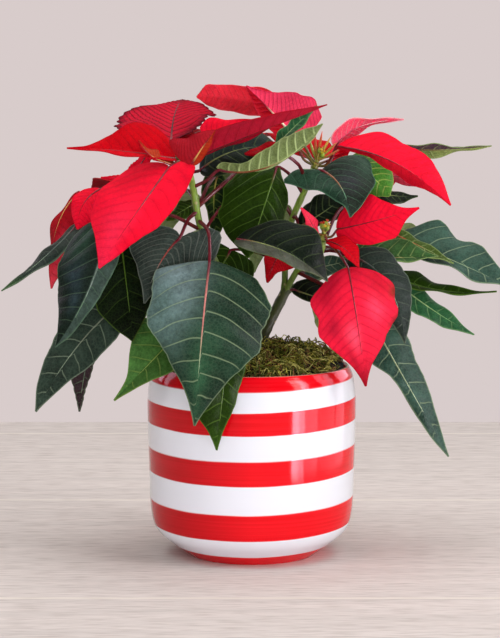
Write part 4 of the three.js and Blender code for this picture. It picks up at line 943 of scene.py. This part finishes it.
BACK_BRACTS = (
    leaf("scarlet", (82, 56, 269), (84, 86, 261), (84, 120, 231), (0, 0.7, 0.8), (16, 25, 25, 18, 7),
         lobe=0.02),
    leaf("crimson", (77, 54, 268), (64, 84, 270), (50, 116, 266), (0, 0.2, 1), (12, 19, 19, 13, 5),
         turn=0.4),
    leaf("scarlet", (92, 50, 268), (116, 66, 268), (140, 76, 254), (0.2, 0.5, 0.9), (9, 14, 14, 10, 4),
         turn=0.7),
)


def shoot_end(route):
    """Where a shoot ends, and its direction there."""
    line = smooth_line(route, 6)
    return line[-1], (line[-1] - line[-2]).normalized()


def bract_head(side, route, bracts):
    """One head: the shoot's swollen green end with the bracts' stalks, and all their blades."""
    end, along = shoot_end(route)
    foot = end + along * CORE_GAP
    heart = tuple(foot + along * CORE_LENGTH / 2)
    bracts = [dict(stem=heart, **bract) for bract in bracts]
    name = side + "_bract_stalks"
    stalks = leaf_stalks(name, bracts, BRACT_LOOKS, BRACT_STALK_TONES, 2, BRACT_STALK_RADII)
    core_line = [foot + along * CORE_LENGTH * share for share in CORE_STATIONS]
    core = round_stalk(core_line, CORE_RADII, CORE_TONES)
    core.data.materials.append(waxy_stalk)
    settle(joined(name, [stalks, core]), "bract", "bracts_" + side)
    red_blades = blades(side + "_bracts", bracts, BRACT_LOOKS, 11, 0.45, (bract_upper, bract_under))
    settle(red_blades, "bract", "bracts_" + side)


# A bract's face is velvety, with hardly any gloss, and its flesh glows a little in strong light.
bract_upper = blade_skin("velvety_bract_upper", "tone", vein_share=0.24, net_share=0.03, mottle=0.16,
                         relief=-0.7, groove_shade=0.06, Roughness=0.6, Specular_IOR_Level=0.03, **SOFT_FLESH)
bract_under = blade_skin("matte_bract_under", "under_tone", vein_share=0.4, net_share=0.08, mottle=0.2,
                         relief=1.2, groove_shade=0.08, Roughness=0.65, Specular_IOR_Level=0.08, **SOFT_FLESH)
bract_head("left", LEFT_SHOOT, LEFT_BRACTS)
bract_head("far_left", FAR_LEFT_SHOOT, FAR_LEFT_BRACTS)
bract_head("top", TOP_SHOOT, TOP_BRACTS)
bract_head("front", FRONT_SHOOT, FRONT_BRACTS)
bract_head("back", BACK_SHOOT, BACK_BRACTS)

# ---------------------------------------------------------------------------- cyathia
# The true flowers: small green cups on stalks in the middle of each head, with red and yellow
# stamens in the mouth and one yellow nectar lip at the side.

PAD_RADII = (1.9, 1.9, 1.2)
PAD_HEIGHT = 1.6
CUP_OUTLINE = ((0, -2.2), (1.1, -1.9), (1.65, -0.9), (1.75, 0.3), (1.3, 1.5), (1.0, 2.1),
               (1.25, 2.3), (0.8, 1.9), (0, 1.4))
CUP_SIDES = 8
CUP_FOOT, CUP_REACH = -2.2, 4.5
CUP_TONES = ("#5c7a26", "#86a034", "#b8b83c")
CUP_STALK_RADII = (0.75, 0.6, 0.7)
SHORT_STALK = 0.7
FIRST_TURN = 0.4
STALK_GREENS = ("#8a7c30", "#a08838")
YOUNG_BRACT_BASE = "#8a8a30"
YOUNG_BRACT_RADII = (0.6, 0.9, 1.1, 0.2)
GLAND_TONE = "#d8b428"
GLAND = ((1.2, 0, 0.6), (1.9, 0, 1.0), (2.3, 0, 1.7), (1.9, 0, 2.2))
GLAND_RADII = (0.35, 0.9, 0.9, 0.3)
STAMEN = ((0.3, 1.4), (0.6, 2.8), (0.9, 3.6))
STAMEN_RADII = (0.25, 0.3, 0.5)
STAMEN_TURNS = (0.5, 2.6, 4.6)
STAMEN_TONES = ("#c8301c", "#d8482a", "#e0a828")
TOP_YOUNG_BRACTS = (
    ((45, -6, 302), "#c8202c"), ((50, -6, 304), "#d04028"), ((56, -5, 300), "#c89038"),
    ((60, -7, 296), "#a8782c"), ((41, -5, 298), "#98a040"), ((64, -8, 292), "#c0442c"),
)


def flower_cup(name, stamen_tone):
    """A turned cup with its lip, the nectar gland at its side and a tuft of stamens in its mouth."""
    cup = turn_on_wheel("cup", CUP_OUTLINE, CUP_SIDES)
    shares = [(vertex.co.z / MM - CUP_FOOT) / CUP_REACH for vertex in cup.data.vertices]
    paint(cup, "tone", [spread(colour_run(CUP_TONES), min(1, max(0, share))) for share in shares])
    pieces = [cup, round_stalk(GLAND, GLAND_RADII, (GLAND_TONE, GLAND_TONE))]
    for turn in STAMEN_TURNS:
        line = [(out * math.cos(turn), out * math.sin(turn), up) for out, up in STAMEN]
        pieces.append(round_stalk(line, STAMEN_RADII, (stamen_tone, stamen_tone)))
    return joined(name, pieces)


def cyathia(side, route, count, length, lean, young_bracts=()):
    """A tuft of flower cups on a small pad; long stalks alternate with shorter ones. Slim young
    bracts may stand among them, each given by its tip and its colour."""
    end, along = shoot_end(route)
    foot = end + along * (CORE_LENGTH + 2 * CORE_GAP)
    right = along.cross(Vector((0, 1, 0))).normalized()
    front = right.cross(along)
    pad_line = [foot, foot + along * PAD_HEIGHT * 0.6, foot + along * PAD_HEIGHT]
    pieces = [round_stalk(pad_line, PAD_RADII, CORE_TONES[:2])]
    for i in range(count):
        angle = 2 * math.pi * i / count + FIRST_TURN
        reach = length if i % 2 else SHORT_STALK * length
        out = right * math.cos(angle) + front * math.sin(angle)
        start = foot + along * PAD_HEIGHT / 2 + out * PAD_RADII[0] / 2
        head = start + along * reach + out * reach * lean
        line = smooth_line([start, start.lerp(head, 0.5) + out * 0.4, head], 4)
        pieces.append(round_stalk(line, CUP_STALK_RADII, STALK_GREENS))
        cup = flower_cup("cup", STAMEN_TONES[i % 3])
        upright = Vector((0, 0, 1)).rotation_difference((along + out * lean).normalized())
        cup.data.transform(Matrix.Translation(head * MM) @ upright.to_matrix().to_4x4()
                           @ Matrix.Rotation(angle, 4, "Z"))
        pieces.append(cup)
    for tip, tone in young_bracts:
        line = smooth_line([foot + along * 0.6, foot.lerp(Vector(tip), 0.5), tip], 4)
        pieces.append(round_stalk(line, YOUNG_BRACT_RADII, (YOUNG_BRACT_BASE, tone)))
    obj = joined(side + "_cyathia", pieces)
    obj.data.materials.append(moist_cup)
    settle(obj, "cyathium", "cyathia_" + side)


# Cups, glands and stamens are moist and slightly see-through, so they shine softly.
moist_cup = flecked_skin("moist_flower_cup", 900, 0.75, 1.3, Roughness=0.35, Subsurface_Weight=0.2,
                         Subsurface_Scale=0.6 * MM)
cyathia("left", LEFT_SHOOT, 3, 2, 0)
cyathia("far_left", FAR_LEFT_SHOOT, 4, 5, 0.35)
cyathia("top", TOP_SHOOT, 4, 8, 0.2, TOP_YOUNG_BRACTS)
cyathia("front", FRONT_SHOOT, 4, 5, 0.3)
cyathia("back", BACK_SHOOT, 4, 6, 0.35)

# ---------------------------------------------------------------------------- stage
# A plain table top of limed boards in a pale room. Soft panels above and at both sides light the
# plant, and two fills in front lift the pot's wall. The windows light nothing: they only show in
# the glaze and on waxy leaves, where they draw upright highlights. Places are in metres here.

FLOOR_BACK = 0.618
FLOOR_FRONT = -1.6
FLOOR_HALF = 3.0
ROOM = "#d8cccb"
TABLE_TOP = "#ded4cf"
PORE_TONE = "#a4958e"
SEAM_TONE = "#f0e8dc"
FIRST_SEAM = -0.147
BOARD_WIDTH = 0.346
WINDOW_LIGHT = "#fbe8ff"
FOCAL_PIXELS, FRAME_PIXELS, SENSOR = 2193, 638, 36
CAMERA_PLACE = (-0.0012, -1.566, 0.335)
CAMERA_DIP = 6.03


def area_light(name, place, aim, size, watts, colour="#ffffff"):
    """A soft rectangular lamp, turned to face its aim and hidden from the camera."""
    light = bpy.data.lights.new(name, "AREA")
    light.shape = "RECTANGLE"
    light.size, light.size_y = size
    light.energy = watts
    light.color = linear(colour)[:3]
    obj = bpy.data.objects.new(name, light)
    obj.location = place
    obj.rotation_euler = (Vector(aim) - Vector(place)).to_track_quat("-Z", "Y").to_euler()
    obj.visible_camera = False
    bpy.context.scene.collection.objects.link(obj)
    return obj


bpy.ops.object.select_all(action="DESELECT")
bpy.ops.mesh.primitive_plane_add(size=1)
table = bpy.context.object
table.name = "table_top"
for vertex in table.data.vertices:
    across, back = 2 * vertex.co.x, vertex.co.y + 0.5
    vertex.co = (across * FLOOR_HALF, FLOOR_FRONT + back * (FLOOR_BACK - FLOOR_FRONT), 0)
# Limed wood is pale and dull, with grey pores along the grain and light filler in its seams.
wood, tree, skin, place = new_material("limed_table_top", Roughness=0.6, Specular_IOR_Level=0)
drawn = add_node(tree, "Mapping", {"Vector": place, "Scale": (5, 80, 1)})
grain = add_node(tree, "TexNoise", {"Vector": drawn, "Scale": 1, "Detail": 4})
light = add_node(tree, "MapRange", [grain, 0.3, 0.7, 0.92, 1.06])
limed = add_node(tree, "HueSaturation", {"Value": light, "Color": linear(TABLE_TOP)})
short = add_node(tree, "Mapping", {"Vector": place, "Scale": (45, 380, 1)})
pores = add_node(tree, "TexNoise", {"Vector": short, "Scale": 1, "Detail": 3})
pore = add_node(tree, "MapRange", [pores, 0.45, 0.75, 0, 0.5])
pored = add_node(tree, "Mix", {0: pore, 6: limed, 7: linear(PORE_TONE)}, 2, data_type="RGBA")
depth = add_node(tree, "SeparateXYZ", [place], 1)
shifted = add_node(tree, "Math", [depth, FIRST_SEAM], operation="SUBTRACT")
gap = add_node(tree, "Math", [shifted, BOARD_WIDTH / 2], operation="PINGPONG")
seam = add_node(tree, "MapRange", [gap, 0.8 * MM, 2 * MM, 0.8, 0])
boarded = add_node(tree, "Mix", {0: seam, 6: pored, 7: linear(SEAM_TONE)}, 2, data_type="RGBA")
# Painted shade: the top is darkened towards the front, to 86 percent of its tone.
fade = add_node(tree, "MapRange", [depth, -0.35, -0.1, 0.86, 1])
front_shaded = add_node(tree, "HueSaturation", {"Value": fade, "Color": boarded})
tree.links.new(front_shaded, skin["Base Color"])
table.data.materials.append(wood)

# The room's wall shows at full brightness, and also where a glossy surface is seen edge on, but it
# lights the plant only faintly.
world = bpy.data.worlds.new("pale_room")
bpy.context.scene.world = world
world.use_nodes = True
tree = world.node_tree
direction = add_node(tree, "TexCoord", out="Generated")
depth = add_node(tree, "SeparateXYZ", [direction], 1)
faint = add_node(tree, "MapRange", [depth, -0.7, 0.1, 0.03, 0.3])
ray = add_node(tree, "LightPath").node.outputs
back = add_node(tree, "MapRange", [depth, 0.55, 0.9])
skimmed = add_node(tree, "Math", [back, ray["Is Glossy Ray"]], operation="MULTIPLY")
bright = add_node(tree, "Math", [skimmed, ray["Is Camera Ray"]], operation="MAXIMUM")
background = tree.nodes["Background"].inputs
background["Color"].default_value = linear(ROOM)
tree.links.new(add_node(tree, "Mix", {0: bright, 2: faint, 3: 1.0}), background["Strength"])

area_light("left_panel", (-1.3, -1.0, 0.9), (0, 0, 0.2), (1.2, 1.2), 6)
area_light("top_panel", (0.0, 0.1, 1.9), (0, 0, 0.15), (2.2, 2.0), 32)
area_light("right_panel", (1.35, -0.93, 0.8), (0, 0, 0.2), (0.45, 1.2), 15)
front_fill = area_light("front_fill", (0.1, -2.4, 1.2), (0, 0, 0.2), (1.6, 1.0), 11.5)
low_fill = area_light("low_fill", (0.3, -1.7, 0.05), (0, 0, 0.03), (1.6, 0.1), 11, "#f0f2ff")
for fill in (front_fill, low_fill):
    fill.visible_glossy = False
for window in (
    ("window_edge", (0.24, -0.252, 0.055), (0.031, -0.068, 0.055), (0.04, 0.17), 0.5),
    ("window_fade", (0.264, -0.222, 0.055), (0.034, -0.067, 0.055), (0.036, 0.17), 0.22),
    ("window_low", (0.306, -0.2, 0.055), (0.038, -0.065, 0.055), (0.16, 0.17), 0.3),
    ("window_glow", (0.36, -0.07, 0.06), (0.06, -0.05, 0.06), (0.46, 0.17), 0.45),
    ("rim_window", (1.45, -0.77, 0.8), (0, 0, 0.13), (0.3, 0.9), 11),
    ("side_window", (1.63, 0.16, 0.8), (0, 0, 0.13), (0.66, 1.1), 10),
    ("back_window", (1.26, 1.05, 0.8), (0, 0, 0.13), (0.82, 1.1), 11),
    ("left_window", (-1.45, 0.75, 0.8), (0, 0, 0.13), (0.7, 1.1), 8),
):
    area_light(*window, WINDOW_LIGHT).visible_diffuse = False

camera_data = bpy.data.cameras.new("camera")
camera_data.lens = FOCAL_PIXELS / FRAME_PIXELS * SENSOR
camera = bpy.data.objects.new("camera", camera_data)
camera.location = CAMERA_PLACE
camera.rotation_euler = (math.radians(90 - CAMERA_DIP), 0, 0)
bpy.context.scene.collection.objects.link(camera)
bpy.context.scene.camera = camera
bpy.context.scene.view_settings.view_transform = "Standard"
